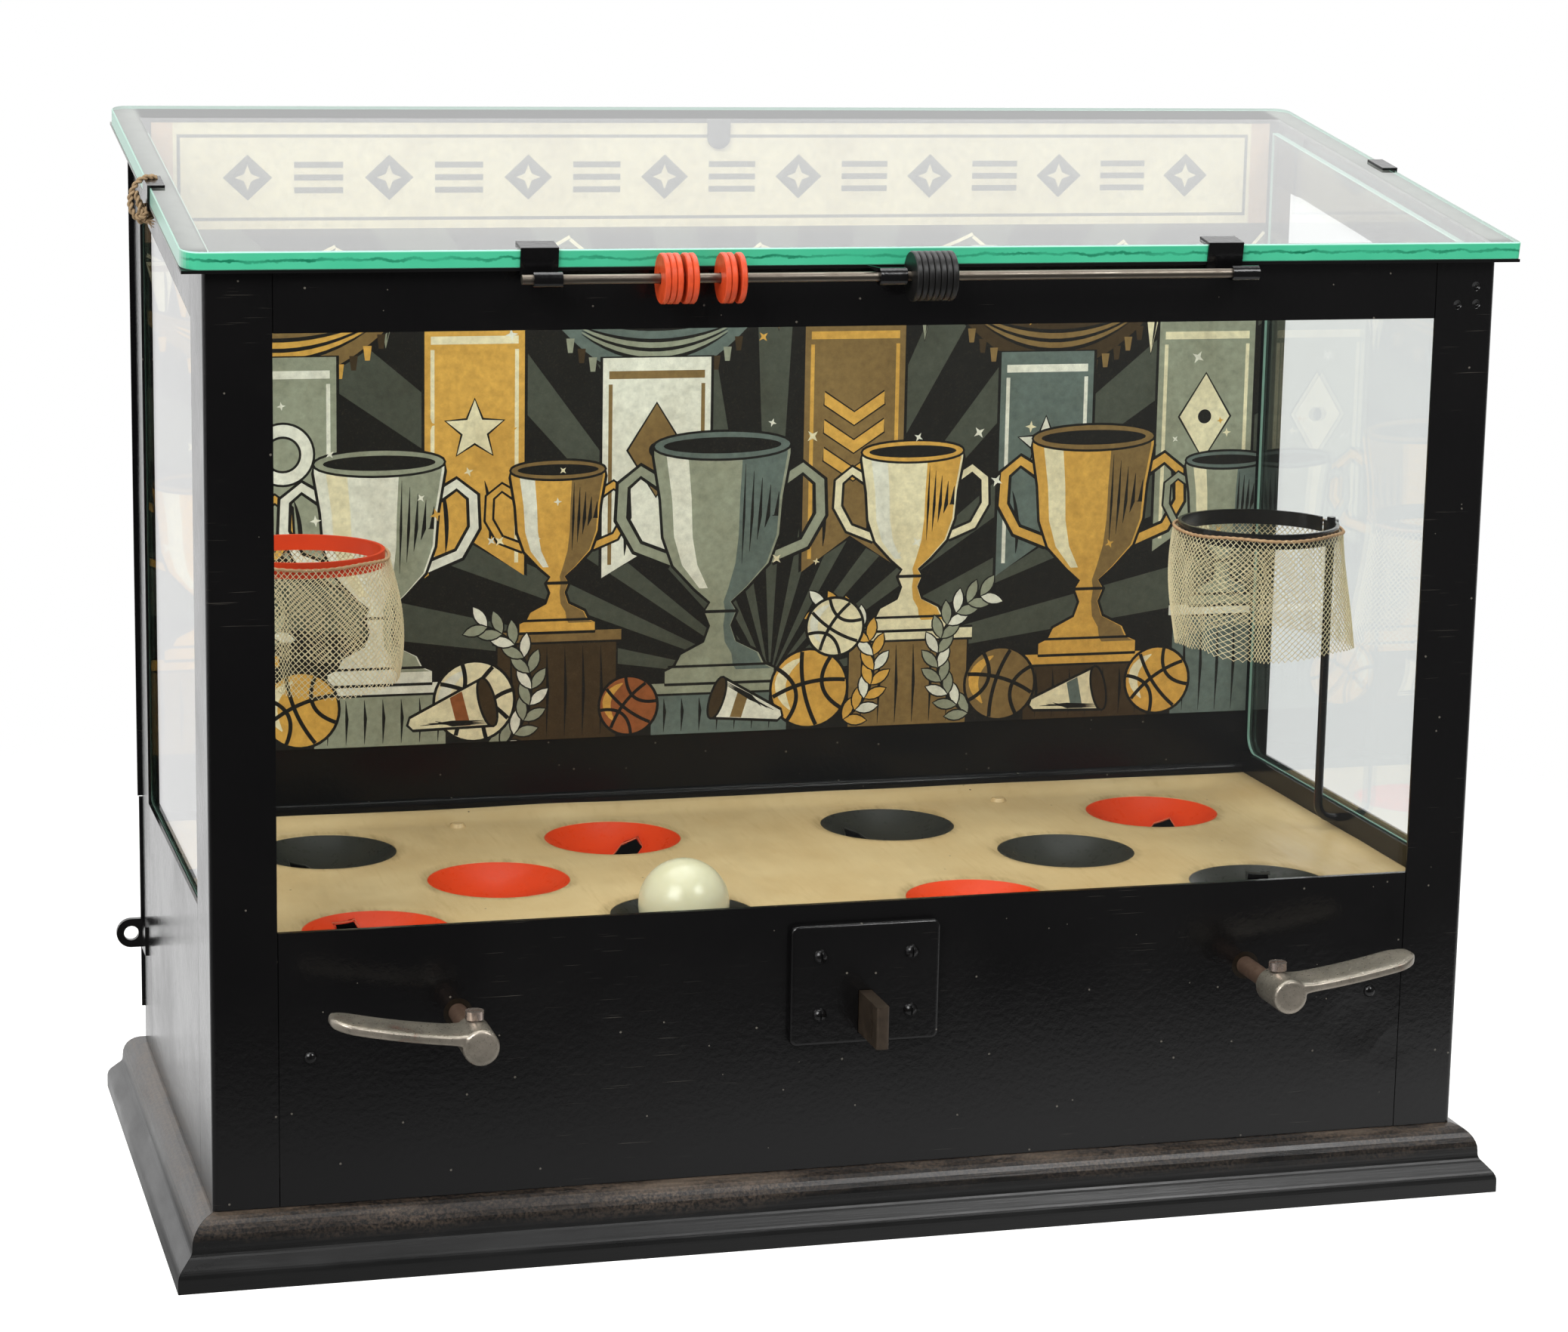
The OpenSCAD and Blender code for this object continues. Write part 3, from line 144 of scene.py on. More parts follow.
white_table = bpy.data.materials.new("matt white table")
white_table.use_nodes = True
tree = white_table.node_tree
tree.nodes.clear()
bare = add(tree, "BsdfDiffuse", {"Color": "#e2e2e0"})
glow = add(tree, "Emission", {"Color": (1, 1, 1, 1), "Strength": 0.55})
both = add(tree, "AddShader", {0: bare, 1: glow})
away = add(tree, "VectorMath", {0: add(tree, "TexCoord").outputs["Object"]}, operation="LENGTH")
edge = add(tree, "MapRange", {"Value": away, "From Min": 0.3, "From Max": 0.75}, interpolation_type="SMOOTHSTEP")
paper = add(tree, "Emission", {"Color": (1, 1, 1, 1), "Strength": 1.0})
faded = add(tree, "MixShader", {0: edge, 1: both, 2: paper})
bounced, seen = rays(tree)
spot = add(tree, "SeparateXYZ", {0: add(tree, "TexCoord").outputs["Object"]})
behind = add(tree, "MapRange", {"Value": spot.outputs["Y"], "From Min": -0.12, "From Max": 0.1, "To Min": 0.06,
    "To Max": 1.05})
# in front the table is lit close to the game, and more on the right
close = add(tree, "MapRange", {"Value": spot.outputs["Y"], "From Min": -0.42, "From Max": -0.18},
    interpolation_type="SMOOTHSTEP")
rightward = add(tree, "MapRange", {"Value": spot.outputs["X"], "From Min": -0.25, "From Max": 0.3, "To Min": 0.3,
    "To Max": 1.0})
lit = add(tree, "Math", {0: close, 1: rightward}, operation="MULTIPLY")
sheen = add(tree, "Math", {0: lit, 1: behind}, operation="MAXIMUM")
sheet = add(tree, "Emission", {"Color": (1, 1, 1, 1), "Strength": sheen})
unseen = add(tree, "MixShader", {0: bounced, 1: bare, 2: sheet})
add(tree, "OutputMaterial", {"Surface": add(tree, "MixShader", {0: seen, 1: unseen, 2: faded})})
floor_mesh.materials.append(white_table)

for name, place, aim, size, watts in (
        ("left softbox", (-1.05, -1.1, 1.25), (0, 0, 0.2), 1.0, 27),
        ("right softbox", (0.62, -0.95, 1.15), (0.05, 0, 0.15), 0.5, 8),
        ("overhead softbox", (-0.1, 0.25, 1.7), (0, 0, 0.1), 1.3, 17)):
    lamp = bpy.data.lights.new(name, "AREA")
    lamp.size = size
    lamp.energy = watts
    stand = put(name, lamp)
    stand.location = place
    stand.rotation_euler = (Vector(aim) - Vector(place)).to_track_quat("-Z", "Y").to_euler()
    stand.visible_camera = False


# Wooden base.  Four lengths of beech moulding, mitred and nailed round a floor board, stained black-brown.
# Hands and cloths have rubbed the stain thin on the upper round, where the brown of the wood shows.

def new_material(name, **constants):
    """A material, its tree, its shader with constant sockets set, and its Object coordinates."""
    made = bpy.data.materials.new(name)
    made.use_nodes = True
    shader = made.node_tree.nodes["Principled BSDF"]
    for key, value in constants.items():
        shader.inputs[key.replace("_", " ")].default_value = value
    place = add(made.node_tree, "TexCoord").outputs["Object"]
    return made, made.node_tree, shader, place


def coat(made, *nodes):
    """Puts a material on CAD pieces."""
    for name in nodes:
        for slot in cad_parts[name].material_slots:
            slot.material = made


def skin(shader, colour, cloud, shine, relief, strength, deep):
    """Gives a shader its colour, a roughness that follows a cloud, and a fine relief."""
    tree = shader.id_data
    feed(shader, {
        "Base Color": colour,
        "Roughness": add(tree, "MapRange", {
            "Value": cloud, "From Min": 0.3, "From Max": 0.7, "To Min": shine[0], "To Max": shine[1]}),
        "Normal": add(tree, "Bump", {"Strength": strength, "Distance": deep, "Height": relief})})


half_w, half_d = 0.2225, 0.1015     # of the cabinet
stained_beech, tree, shader, place = new_material("stained beech moulding", Specular_IOR_Level=0.42)
at = add(tree, "SeparateXYZ", {0: place})
far_x = add(tree, "Math", {0: at.outputs["X"]}, operation="ABSOLUTE")
far_y = add(tree, "Math", {0: at.outputs["Y"]}, operation="ABSOLUTE")
past_x = add(tree, "Math", {0: far_x, 1: half_w - half_d}, operation="SUBTRACT")
on_side = add(tree, "Math", {0: past_x, 1: far_y}, operation="GREATER_THAN")
turned = add(tree, "CombineXYZ", {"X": at.outputs["Y"], "Y": at.outputs["X"], "Z": at.outputs["Z"]})
along = add(tree, "Mix", {0: on_side, 4: place, 5: turned}, data_type="VECTOR")
# beech rays and pores, about 0.7 mm wide and 25 mm long
pores = add(tree, "TexNoise", {"Vector": add(tree, "Mapping", {"Vector": along, "Scale": (0.028, 1, 1)}),
    "Scale": 1400, "Detail": 4, "Roughness": 0.6})
# rubbed patches, 15 to 60 mm long, and the 1 mm speckle of stain left in the pores
patches = add(tree, "TexNoise", {"Vector": add(tree, "Mapping", {"Vector": along, "Scale": (0.3, 1, 1)}),
    "Scale": 80, "Detail": 5, "Roughness": 0.65})
speckle = add(tree, "TexNoise", {"Vector": place, "Scale": 900, "Detail": 3, "Roughness": 0.7})
high = add(tree, "MapRange", {"Value": at.outputs["Z"], "From Min": 0.008, "From Max": 0.0225, "To Min": 0.25},
    interpolation_type="SMOOTHSTEP")
rubbed = add(tree, "Math", {0: high, 1: patches}, operation="MULTIPLY")
bared = add(tree, "MapRange", {"Value": rubbed, "From Min": 0.24, "From Max": 0.7})
worn = add(tree, "Math", {0: bared, 1: add(tree, "MapRange", {"Value": speckle, "From Min": 0.4,
    "From Max": 0.62})}, operation="MULTIPLY")
stain = add(tree, "Mix", {0: worn, 6: "#0f0f0f", 7: "#54463a"}, data_type="RGBA")
# the crest beside the cabinet, rubbed pale by dusting
crest = add(tree, "Math", {0: add(tree, "MapRange", {"Value": at.outputs["Z"], "From Min": 0.0195,
    "From Max": 0.0225}), 1: add(tree, "MapRange", {"Value": patches, "From Min": 0.45, "From Max": 0.75})},
    operation="MULTIPLY")
stain = add(tree, "Mix", {0: crest, 6: stain, 7: "#62564a"}, data_type="RGBA")
grained = add(tree, "Mix", {0: 0.4, 6: stain, 7: add(tree, "ValToRGB", {0: pores})}, data_type="RGBA",
    blend_type="SOFT_LIGHT")
skin(shader, grained, patches, (0.26, 0.4), pores, 0.12, 0.0004)
coat(stained_beech, "base_board", "base_mouldings")


# Sheet-steel cabinet.  Folded posts, panels and rails, spot welded to straps behind the seams, then dipped
# in black enamel and baked: smooth and satin, with fine dust, rub marks and a few chips.

def specks(tree, place, scale, size, rare):
    """Round spots in some of the cells of a pattern."""
    cells = add(tree, "TexVoronoi", {"Vector": place, "Scale": scale})
    picked = add(tree, "SeparateXYZ", {0: cells.outputs["Color"]})
    speck = add(tree, "Math", {0: cells.outputs["Distance"], 1: size}, operation="LESS_THAN")
    some = add(tree, "Math", {0: picked.outputs["X"], 1: rare}, operation="GREATER_THAN")
    return add(tree, "Math", {0: speck, 1: some}, operation="MULTIPLY")


black_enamel, tree, shader, place = new_material("baked black enamel", Specular_IOR_Level=0.4)
# leathery orange peel of dipped enamel, about 2 mm
peel = add(tree, "TexNoise", {"Vector": place, "Scale": 480, "Detail": 3, "Roughness": 0.6})
# wiped and greasy areas, about 60 mm
wiped = add(tree, "TexNoise", {"Vector": place, "Scale": 17, "Detail": 5, "Roughness": 0.6})
# dust and pin marks: one in three 5 mm cells holds a speck of about 0.4 mm
dust = specks(tree, place, 190, 0.075, 0.66)
# fine rub marks, 0.3 mm wide and up to 30 mm long, mostly across
rubs = add(tree, "TexNoise", {"Vector": add(tree, "Mapping", {"Vector": place, "Rotation": (0, math.radians(24), 0),
    "Scale": (0.02, 0.02, 1)}), "Scale": 2400, "Detail": 1})
scored = add(tree, "MapRange", {"Value": rubs, "From Min": 0.7, "From Max": 0.78})
where = add(tree, "MapRange", {"Value": wiped, "From Min": 0.5, "From Max": 0.68})
marked = add(tree, "Math", {0: scored, 1: where}, operation="MULTIPLY")
enamel = add(tree, "Mix", {0: wiped, 6: "#09090a", 7: "#0f0e0e"}, data_type="RGBA")
dusty = add(tree, "Mix", {0: dust, 6: enamel, 7: "#57534c"}, data_type="RGBA")
feed(shader, {"Base Color": add(tree, "Mix", {0: marked, 6: dusty, 7: "#3d3a35"}, data_type="RGBA")})
feed(shader, {"Roughness": add(tree, "MapRange", {
    "Value": wiped, "From Min": 0.3, "From Max": 0.7, "To Min": 0.1, "To Max": 0.24})})
# three punch marks near the top of the right post, 3.4 mm across, and knocks beside the right lever
dents = None
for *spot, r, deep in (
        (215.3, -101.5, 324.9, 1.7, 1), (208.7, -101.5, 318.6, 1.7, 1), (215.7, -101.5, 318.8, 1.7, 1),
        (188.4, -101.5, 100.5, 11, 0.16), (184, -101.5, 63, 15, 0.2), (197, -101.5, 52, 9, 0.1)):
    away = add(tree, "VectorMath", {0: place, 1: Vector(spot) * MM}, operation="DISTANCE")
    dent = add(tree, "MapRange", {"Value": away, "From Min": 0.2 * r * MM, "From Max": r * MM, "To Min": 1 - deep},
        interpolation_type="SMOOTHSTEP")
    dents = dent if dents is None else add(tree, "Math", {0: dents, 1: dent}, operation="MINIMUM")
pressed = add(tree, "Bump", {"Strength": 1.0, "Distance": 0.0012, "Height": dents})
feed(shader, {"Normal": add(tree, "Bump", {"Strength": 0.3, "Distance": 0.0003, "Height": peel,
    "Normal": pressed})})
coat(black_enamel, "front_posts", "rear_posts", "front_panel", "front_rail", "side_panels", "side_rails",
     "rear_sill", "back_cover", "rear_door", "hasp_staple",
     "coin_plate_screws", "rod_clips", "rod_divider", "lid_clips")
# inside, the enamel was never rubbed up: the same black with less shine, so it mirrors little of the tan field
dull_enamel = black_enamel.copy()
dull_enamel.name = "unpolished black enamel"
dull_enamel.node_tree.nodes[shader.name].inputs["Specular IOR Level"].default_value = 0.12
coat(dull_enamel, "back_panel", "inner_rails", "glass_channel")

# the outer edges of the side strips under the lid are painted a flecked pale grey, except near the front
pale_edged_enamel, tree, shader, place = new_material("black enamel with pale grey outer edges", Specular_IOR_Level=0.4, Roughness=0.35)
at = add(tree, "SeparateXYZ", {0: place})
aside = add(tree, "MapRange", {"Value": add(tree, "Math", {0: at.outputs["X"]}, operation="ABSOLUTE"),
    "From Min": 0.2195, "From Max": 0.2215})
inward = add(tree, "MapRange", {"Value": at.outputs["Y"], "From Min": -0.1, "From Max": -0.094})
grey_fleck = add(tree, "TexNoise", {"Vector": place, "Scale": 240, "Detail": 4})
pale_outer_edge = add(tree, "Math", {0: aside, 1: inward}, operation="MULTIPLY")
grey = add(tree, "Mix", {0: grey_fleck, 6: "#8c8d89", 7: "#6e6f6b"}, data_type="RGBA")
feed(shader, {"Base Color": add(tree, "Mix", {0: pale_outer_edge, 6: "#0a0a0a", 7: grey}, data_type="RGBA")})
coat(pale_edged_enamel, "lid_frame")


# Works under the playfield.  Cranks, stirrups, kicker frames, guide rods, coin guide and cash tin are plain
# mild steel with a thin film of old oil; the bushes are blackened brass.  The coil springs are drawn wire.

oiled_steel, tree, shader, place = new_material("oiled mild steel", Metallic=1.0)
film = add(tree, "TexNoise", {"Vector": place, "Scale": 60, "Detail": 6, "Roughness": 0.65})
# mill marks, about 0.5 mm apart
mill = add(tree, "TexNoise", {"Vector": add(tree, "Mapping", {"Vector": place, "Scale": (0.05, 1, 1)}),
    "Scale": 2000, "Detail": 2})
tarnish = add(tree, "Mix", {0: film, 6: "#8b857b", 7: "#5e5348"}, data_type="RGBA")
skin(shader, tarnish, film, (0.28, 0.55), mill, 0.15, 0.0002)
coat(oiled_steel, "left_crank", "right_crank", "shaft_stirrups", "orange_lifter", "black_lifter",
     "lifter_guides", "coin_guide", "cash_box", "door_hinge", "score_rod")
coat(black_enamel, "hoop_stands")


def mottled(name, scale, detail, light, dark, rough=None, relief=None, fine=0.5, **constants):
    """A material of two close tones in one cloud, which also gives its shine and its relief."""
    made, tree, shader, place = new_material(name, **constants)
    cloud = add(tree, "TexNoise", {"Vector": place, "Scale": scale, "Detail": detail, "Roughness": fine})
    feed(shader, {"Base Color": add(tree, "Mix", {0: cloud, 6: light, 7: dark}, data_type="RGBA")})
    if rough:
        feed(shader, {"Roughness": add(tree, "MapRange", {"Value": cloud, "To Min": rough[0], "To Max": rough[1]})})
    if relief:
        feed(shader, {"Normal": add(tree, "Bump", {
            "Strength": relief[0], "Distance": relief[1], "Height": cloud})})
    return made


# almost black, with a dull yellow gleam, in 1 mm turning marks
coat(mottled("blackened brass", 900, 2, "#2e261b", "#171310", (0.25, 0.45), Metallic=0.6), "shaft_bushes")
# brown bloom of rust in 2 mm spots over a steel gleam
coat(mottled("rust-browned steel", 420, 5, "#8d7565", "#5a4234", fine=0.65, Metallic=0.7, Roughness=0.42),
     "left_shaft", "right_shaft")


def circle(count):
    """Cosine and sine of equal steps round a circle."""
    return [(math.cos(2 * math.pi * i / count), math.sin(2 * math.pi * i / count)) for i in range(count)]


def bands(first, rings, n):
    """Quads between rings of n points."""
    quads = []
    for low in range(first, first + (rings - 1) * n, n):
        quads += [(low + i, low + (i + 1) % n, low + n + (i + 1) % n, low + n + i) for i in range(n)]
    return quads


def made_piece(name, points, faces, made, body, smooth=True):
    """A mesh piece from points in millimetres, with its material, on its body."""
    mesh = bpy.data.meshes.new(name)
    mesh.from_pydata([(p[0] * MM, p[1] * MM, p[2] * MM) for p in points], [], faces)
    mesh.validate()
    piece = put(name, mesh)
    mesh.materials.append(made)
    mesh.shade_smooth() if smooth else mesh.shade_flat()
    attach(piece, body)
    return piece


# return springs: in the game they shorten towards the playfield as the levers lift the kicker frames; here each is a
# fixed coil that fills its CAD box
coil_r, wire_r, lift = 4.6, 0.6, 15.3
for side, colour, hand, turns in ((-1, "orange", "left", 9), (1, "black", "right", 14)):
    low, high = [Vector(c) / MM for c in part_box(colour + "_spring")]
    axis_x, axis_y = (low.x + high.x) / 2, (low.y + high.y) / 2
    steps, sides = turns * 24, 8
    points = []
    for i in range(steps + 1):
        a = 2 * math.pi * turns * i / steps
        for c, s in circle(sides):
            r = coil_r + wire_r * c
            points.append((axis_x + r * math.cos(a), axis_y + r * math.sin(a),
                           low.z + wire_r + (high.z - low.z - 2 * wire_r) * i / steps + wire_r * s))
    coil = made_piece(colour + "_return_coil", points, bands(0, steps + 1, sides), oiled_steel, "cabinet")
    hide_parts(colour + "_spring")
    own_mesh(coil)


# Playfield.  One steel sheet, pressed so that it dips softly into each cup and turns up along the sides and
# the back, then enamelled tan.  Years of a rolling ball have left faint tracks on it, and it is darker round the
# cups.

half_field, field_front, field_back = 220.4, -99.5, 92.4
flat_x, flat_y = 192.5, 79.5
cup_r = 25.5
orange_spots = [(-161.1, -61.5), (-107.4, -3.5), (-53.7, 48.5), (53.7, -61.5), (161.1, 48.5)]
black_spots = [(-u, v) for u, v in orange_spots]
spots = np.array(orange_spots + black_spots)
dip, dip_r = 0.35, 28.5
field_z, kerb = 106, 3.4


def eased(t):
    t = np.clip(t, 0, 1)
    return t * t * (3 - 2 * t)


def field_height(u, v):
    near = np.sqrt((spots[:, 0] - u) ** 2 + (spots[:, 1] - v) ** 2).min()
    side = kerb * eased((abs(u) - flat_x) / 22.4)
    back = kerb * eased((v - flat_y) / 10.4)
    wave = 0.5 * noise.noise(Vector((u / 46, v / 30, 0.7))) * eased((near - cup_r) / 14)
    return field_z + max(side, back) + wave - dip * (1 - eased((near - cup_r) / (dip_r - cup_r))), near


plan, loops = [], []
sides = 72
for u, v in spots:
    first = len(plan)
    for r in (cup_r, 25.8, 26.3, 27.2, 28.6, 31.2, 33.6, 36.4):
        plan += [Vector((u + r * c, v + r * s)) for c, s in circle(sides)]
    loops += [(first + i, first + (i + 1) % sides) for i in range(sides)]
cols = np.linspace(-half_field, half_field, 136)
rows = np.linspace(field_front, field_back, 60)
plan += [Vector((u, v)) for u in cols for v in rows
         if np.hypot(spots[:, 0] - u, spots[:, 1] - v).min() > 37.6]
flat, _, triangles, _, _, _ = geometry.delaunay_2d_cdt(plan, loops, [], 0, 1e-5)
heights = [field_height(p.x, p.y) for p in flat]


def thicken(piece, wall):
    """Gives a sheet its thickness behind its drawn face."""
    sheet = piece.modifiers.new("sheet", "SOLIDIFY")
    sheet.thickness = wall * MM
    sheet.offset = -1


def in_cup(face):
    """Whether a triangle of the sheet lies over a cup's opening."""
    middle = sum((flat[i] for i in face), Vector((0, 0))) / 3
    return np.hypot(spots[:, 0] - middle.x, spots[:, 1] - middle.y).min() < cup_r - 0.05


tan_enamel, tree, shader, place = new_material("tan stove enamel", Specular_IOR_Level=0.4)
cloud = add(tree, "TexNoise", {"Vector": place, "Scale": 22, "Detail": 6, "Roughness": 0.62})
peel = add(tree, "TexNoise", {"Vector": place, "Scale": 520, "Detail": 2})
# ball tracks: faint smears, 2 mm wide, that run mostly from back to front
tracks = add(tree, "TexNoise", {"Vector": add(tree, "Mapping", {"Vector": place, "Rotation": (0, 0,
    math.radians(12)), "Scale": (1, 0.12, 1)}), "Scale": 260, "Detail": 4, "Roughness": 0.7})
# dark pin marks, one in four 9 mm cells, about 0.5 mm across
pits = specks(tree, place, 110, 0.045, 0.72)
rim = add(tree, "Attribute", attribute_name="near_cup")
tone = add(tree, "Mix", {0: add(tree, "MapRange", {"Value": cloud, "From Min": 0.32, "From Max": 0.68}),
    6: "#c5a577", 7: "#d5b98d"}, data_type="RGBA")
smeared = add(tree, "Mix", {0: add(tree, "MapRange", {"Value": tracks, "From Min": 0.56, "From Max": 0.8,
    "To Max": 0.5}), 6: tone, 7: "#ae8f63"}, data_type="RGBA")
# darker round the cups, where the tracks run
cup_dark = add(tree, "Math", {0: rim.outputs["Fac"], 1: tracks}, operation="MULTIPLY")
cup_darkened = add(tree, "Mix", {0: add(tree, "MapRange", {"Value": cup_dark, "From Min": 0.3, "From Max": 0.62,
    "To Max": 0.55}), 6: smeared, 7: "#8a7049"}, data_type="RGBA")
pitted = add(tree, "Mix", {0: pits, 6: cup_darkened, 7: "#4d3b27"}, data_type="RGBA")
skin(shader, pitted, tracks, (0.3, 0.48), peel, 0.1, 0.0003)

field = made_piece("pressed_playfield", [(p.x, p.y, h) for p, (h, _) in zip(flat, heights)],
                   [f for f in triangles if not in_cup(f)], tan_enamel, "cabinet")
near_cup = field.data.attributes.new("near_cup", "FLOAT", "POINT")
near_cup.data.foreach_set("value", [float(1 - eased((n - cup_r) / 9)) for _, n in heights])
thicken(field, 0.8)
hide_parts("playfield")
coat(tan_enamel, "playfield_screws")


# Cups.  Ten pressed dishes spot welded under the holes of the playfield, five orange and five charcoal.  A
# square hole in the bottom lets the kicker pin through; a pointed slot runs out from it, its cut edge bare.

slots = [(111, 22.4, 0), (0, 17, 1), (49, 20, 1), (-14, 17, 1), (44, 17, 1)]     # turn, reach, pointed or not
square_half, slot_half = 4.3, 4.5
cup_floor, cup_depth = 93.9, 11.6


def hole_reach(a, turn, reach, point):
    """How far the hole goes in a direction: a square of 8.6 mm on its corner, joined by the slot."""
    b = a - math.pi / 4
    square = square_half / max(abs(math.cos(b)), abs(math.sin(b)))
    c, s = math.cos(a - turn), abs(math.sin(a - turn))
    slot = min(slot_half / max(s, 1e-6), reach / (c + s * point)) if c > 0 else 0
    return max(square, slot)


def dish(u, v, slot, side, points, faces):
    """One dish as rings of points from its hole to the mouth; each point's distance from the cut edge."""
    turn, reach, point = math.radians(slot[0]), slot[1], slot[2]
    turn = turn if side > 0 else math.pi - turn
    corner = math.atan2(slot_half, reach - slot_half * point)
    angles = sorted({round(a % (2 * math.pi), 5) for a in [2 * math.pi * i / 64 for i in range(64)] + [
        turn + k * corner + e for k in (-1, 0, 1) for e in (-0.012, 0, 0.012)]})
    around, first, depths = len(angles), len(points), []
    steps = [0.0, None, 0.06, 0.12, 0.2, 0.3, 0.4, 0.5, 0.6, 0.7, 0.8, 0.88, 0.94, 0.98, 1.0]
    for t in steps:
        for a in angles:
            hole = hole_reach(a, turn, reach, point)
            r = hole + (0.55 if t is None else (cup_r + 0.1 - hole) * t)
            f = min(r, cup_r) / cup_r
            z = cup_floor + cup_depth * (0.35 * f + 0.65 * f ** 2.2)
            points.append((u + r * math.cos(a), v + r * math.sin(a), z))
            depths.append(0.0 if t == 0 else 0.04 if t is None else t)
    for k in range(len(steps) - 1):
        for i in range(around):
            p, q = first + k * around + i, first + k * around + (i + 1) % around
            faces.append((p, p + around, q + around, q))
    return depths


for name, places, colours, node, slot in (
        ("orange_dishes", orange_spots, "#d93f16 #b32410 #d98a66", "orange_cups", "orange_enamel"),
        ("charcoal_dishes", black_spots, "#2a2a26 #191815 #37342d", "black_cups", "charcoal_enamel")):
    dish_enamel, tree, shader, place = new_material(name.split("_")[0] + " stove enamel", Specular_IOR_Level=0.15)
    depth = add(tree, "Attribute", attribute_name="from_hole")
    scratch = add(tree, "TexNoise", {"Vector": place, "Scale": 300, "Detail": 6, "Roughness": 0.7})
    peel = add(tree, "TexNoise", {"Vector": place, "Scale": 600, "Detail": 2})
    # the dish is darker towards its hole, in patches
    darker_to_hole = add(tree, "MapRange", {"Value": depth.outputs["Fac"], "From Min": 0.5, "From Max": 0.05, "To Max": 0.8})
    patchy = add(tree, "Math", {0: darker_to_hole, 1: scratch}, operation="MULTIPLY")
    tone = add(tree, "Mix", {0: patchy, 6: colours[:7], 7: colours[8:15]}, data_type="RGBA")
    bare = add(tree, "MapRange", {"Value": depth.outputs["Fac"], "From Min": 0.035, "From Max": 0.005,
        "To Max": 0.6})
    worn = add(tree, "Mix", {0: bare, 6: tone, 7: colours[16:]}, data_type="RGBA")
    skin(shader, worn, scratch, (0.22, 0.42), peel, 0.1, 0.0003)
    points, faces, depths = [], [], []
    for (u, v), slot_form in zip(places, slots):
        depths += dish(u, v, slot_form, 1 if node == "orange_cups" else -1, points, faces)
    cups = made_piece(name, points, faces, dish_enamel, "cabinet")
    cups.data.attributes.new("from_hole", "FLOAT", "POINT").data.foreach_set("value", depths)
    thicken(cups, 0.9)
    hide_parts(node)


# Ball.  Moulded cream plastic in two halves; the joint shows as a fine raised seam.

ball_mid = Vector((-53.7, -61.5, 109.175))
ball_r = 15.875
cream_plastic, tree, shader, place = new_material(
    "moulded cream plastic", Specular_IOR_Level=0.5, Subsurface_Weight=0.12, Subsurface_Scale=0.004)
shader.inputs["Subsurface Radius"].default_value = (1.0, 0.8, 0.5)
age = add(tree, "TexNoise", {"Vector": place, "Scale": 110, "Detail": 5, "Roughness": 0.6})
scuffs = add(tree, "TexNoise", {"Vector": place, "Scale": 900, "Detail": 3, "Roughness": 0.7})
yellowed = add(tree, "Mix", {0: age, 6: "#e2dac0", 7: "#d2c8a6"}, data_type="RGBA")
handled = add(tree, "Mix", {0: add(tree, "MapRange", {"Value": scuffs, "From Min": 0.64, "From Max": 0.72,
    "To Max": 0.35}), 6: yellowed, 7: "#a4936b"}, data_type="RGBA")
feed(shader, {"Base Color": handled, "Roughness": add(tree, "MapRange", {"Value": scuffs, "From Min": 0.35,
    "From Max": 0.7, "To Min": 0.14, "To Max": 0.3})})
lean = Matrix.Rotation(math.radians(35), 3, "X") @ Matrix.Rotation(math.radians(-25), 3, "Y")
turns = 72
lats = [-90 + 5 * i for i in range(1, 17)] + [-4, -2.4, -1.6, -0.9, -0.3, 0.3, 0.9, 1.6, 2.4, 4]
lats += [-a for a in lats[:16]][::-1]
points = [ball_mid + lean @ Vector((0, 0, -ball_r))]
for lat in lats:
    a = math.radians(lat)
    r = ball_r + 0.09 * math.exp(-(lat / 0.9) ** 2)
    points += [ball_mid + lean @ Vector((r * math.cos(a) * c, r * math.cos(a) * s, r * math.sin(a)))
               for c, s in circle(turns)]
points.append(ball_mid + lean @ Vector((0, 0, ball_r)))
faces = [(0, 1 + (i + 1) % turns, 1 + i) for i in range(turns)]
faces += bands(1, len(lats), turns)
last = 1 + (len(lats) - 1) * turns
faces += [(last + i, last + (i + 1) % turns, len(points) - 1) for i in range(turns)]
ball = made_piece("moulded_ball", points, faces, cream_plastic, "ball")
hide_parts("ball")


# Picture card.  A lithograph on pulp board in six inks, pasted to the back pan: a generic trophy hall with
# banners, pennants, loving cups and balls, all flat tones inside heavy black lines.

inks = {name: linear(code) for name, code in (
    ("ink", "#1a1815"), ("cream", "#f1e4c0"), ("straw", "#dca850"), ("sage", "#9a9c88"), ("moss", "#4d5046"),
    ("taupe", "#866b41"), ("umber", "#42331f"), ("chalk", "#ece8da"), ("slate", "#66716c"), ("rust", "#9a5a32"))}
shapes = []


def rect(u0, v0, u1, v1):
    return [(u0, v0), (u1, v0), (u1, v1), (u0, v1)]


def about(u, v, size, turn):
    """Turns places on a motif, in shares of its size, into places on the card."""
    c, s = math.cos(turn), math.sin(turn)
    return lambda x, y: (u + size * (x * c - y * s), v + size * (x * s + y * c))


def lay(tone, outline):
    shapes.append((tone, [Vector((p[0], p[1])) for p in outline]))


def fattened(outline, w):
    """A closed outline moved out by a line's width."""
    count = len(outline)
    area = sum(outline[i - 1][0] * outline[i][1] - outline[i][0] * outline[i - 1][1] for i in range(count))
    turn = math.copysign(1, area)
    grown = []
    for i in range(count):
        (ax, ay), (bx, by) = outline[i - 1], outline[(i + 1) % count]
        run = math.hypot(bx - ax, by - ay) or 1
        grown.append((outline[i][0] + turn * (by - ay) / run * w, outline[i][1] - turn * (bx - ax) / run * w))
    return grown


def lined(tone, outline, w=1.0):
    lay("ink", fattened(outline, w))
    lay(tone, outline)


def disc(u, v, r, wide=1.0, count=36):
    return [(u + r * wide * c, v + r * s) for c, s in circle(count)]


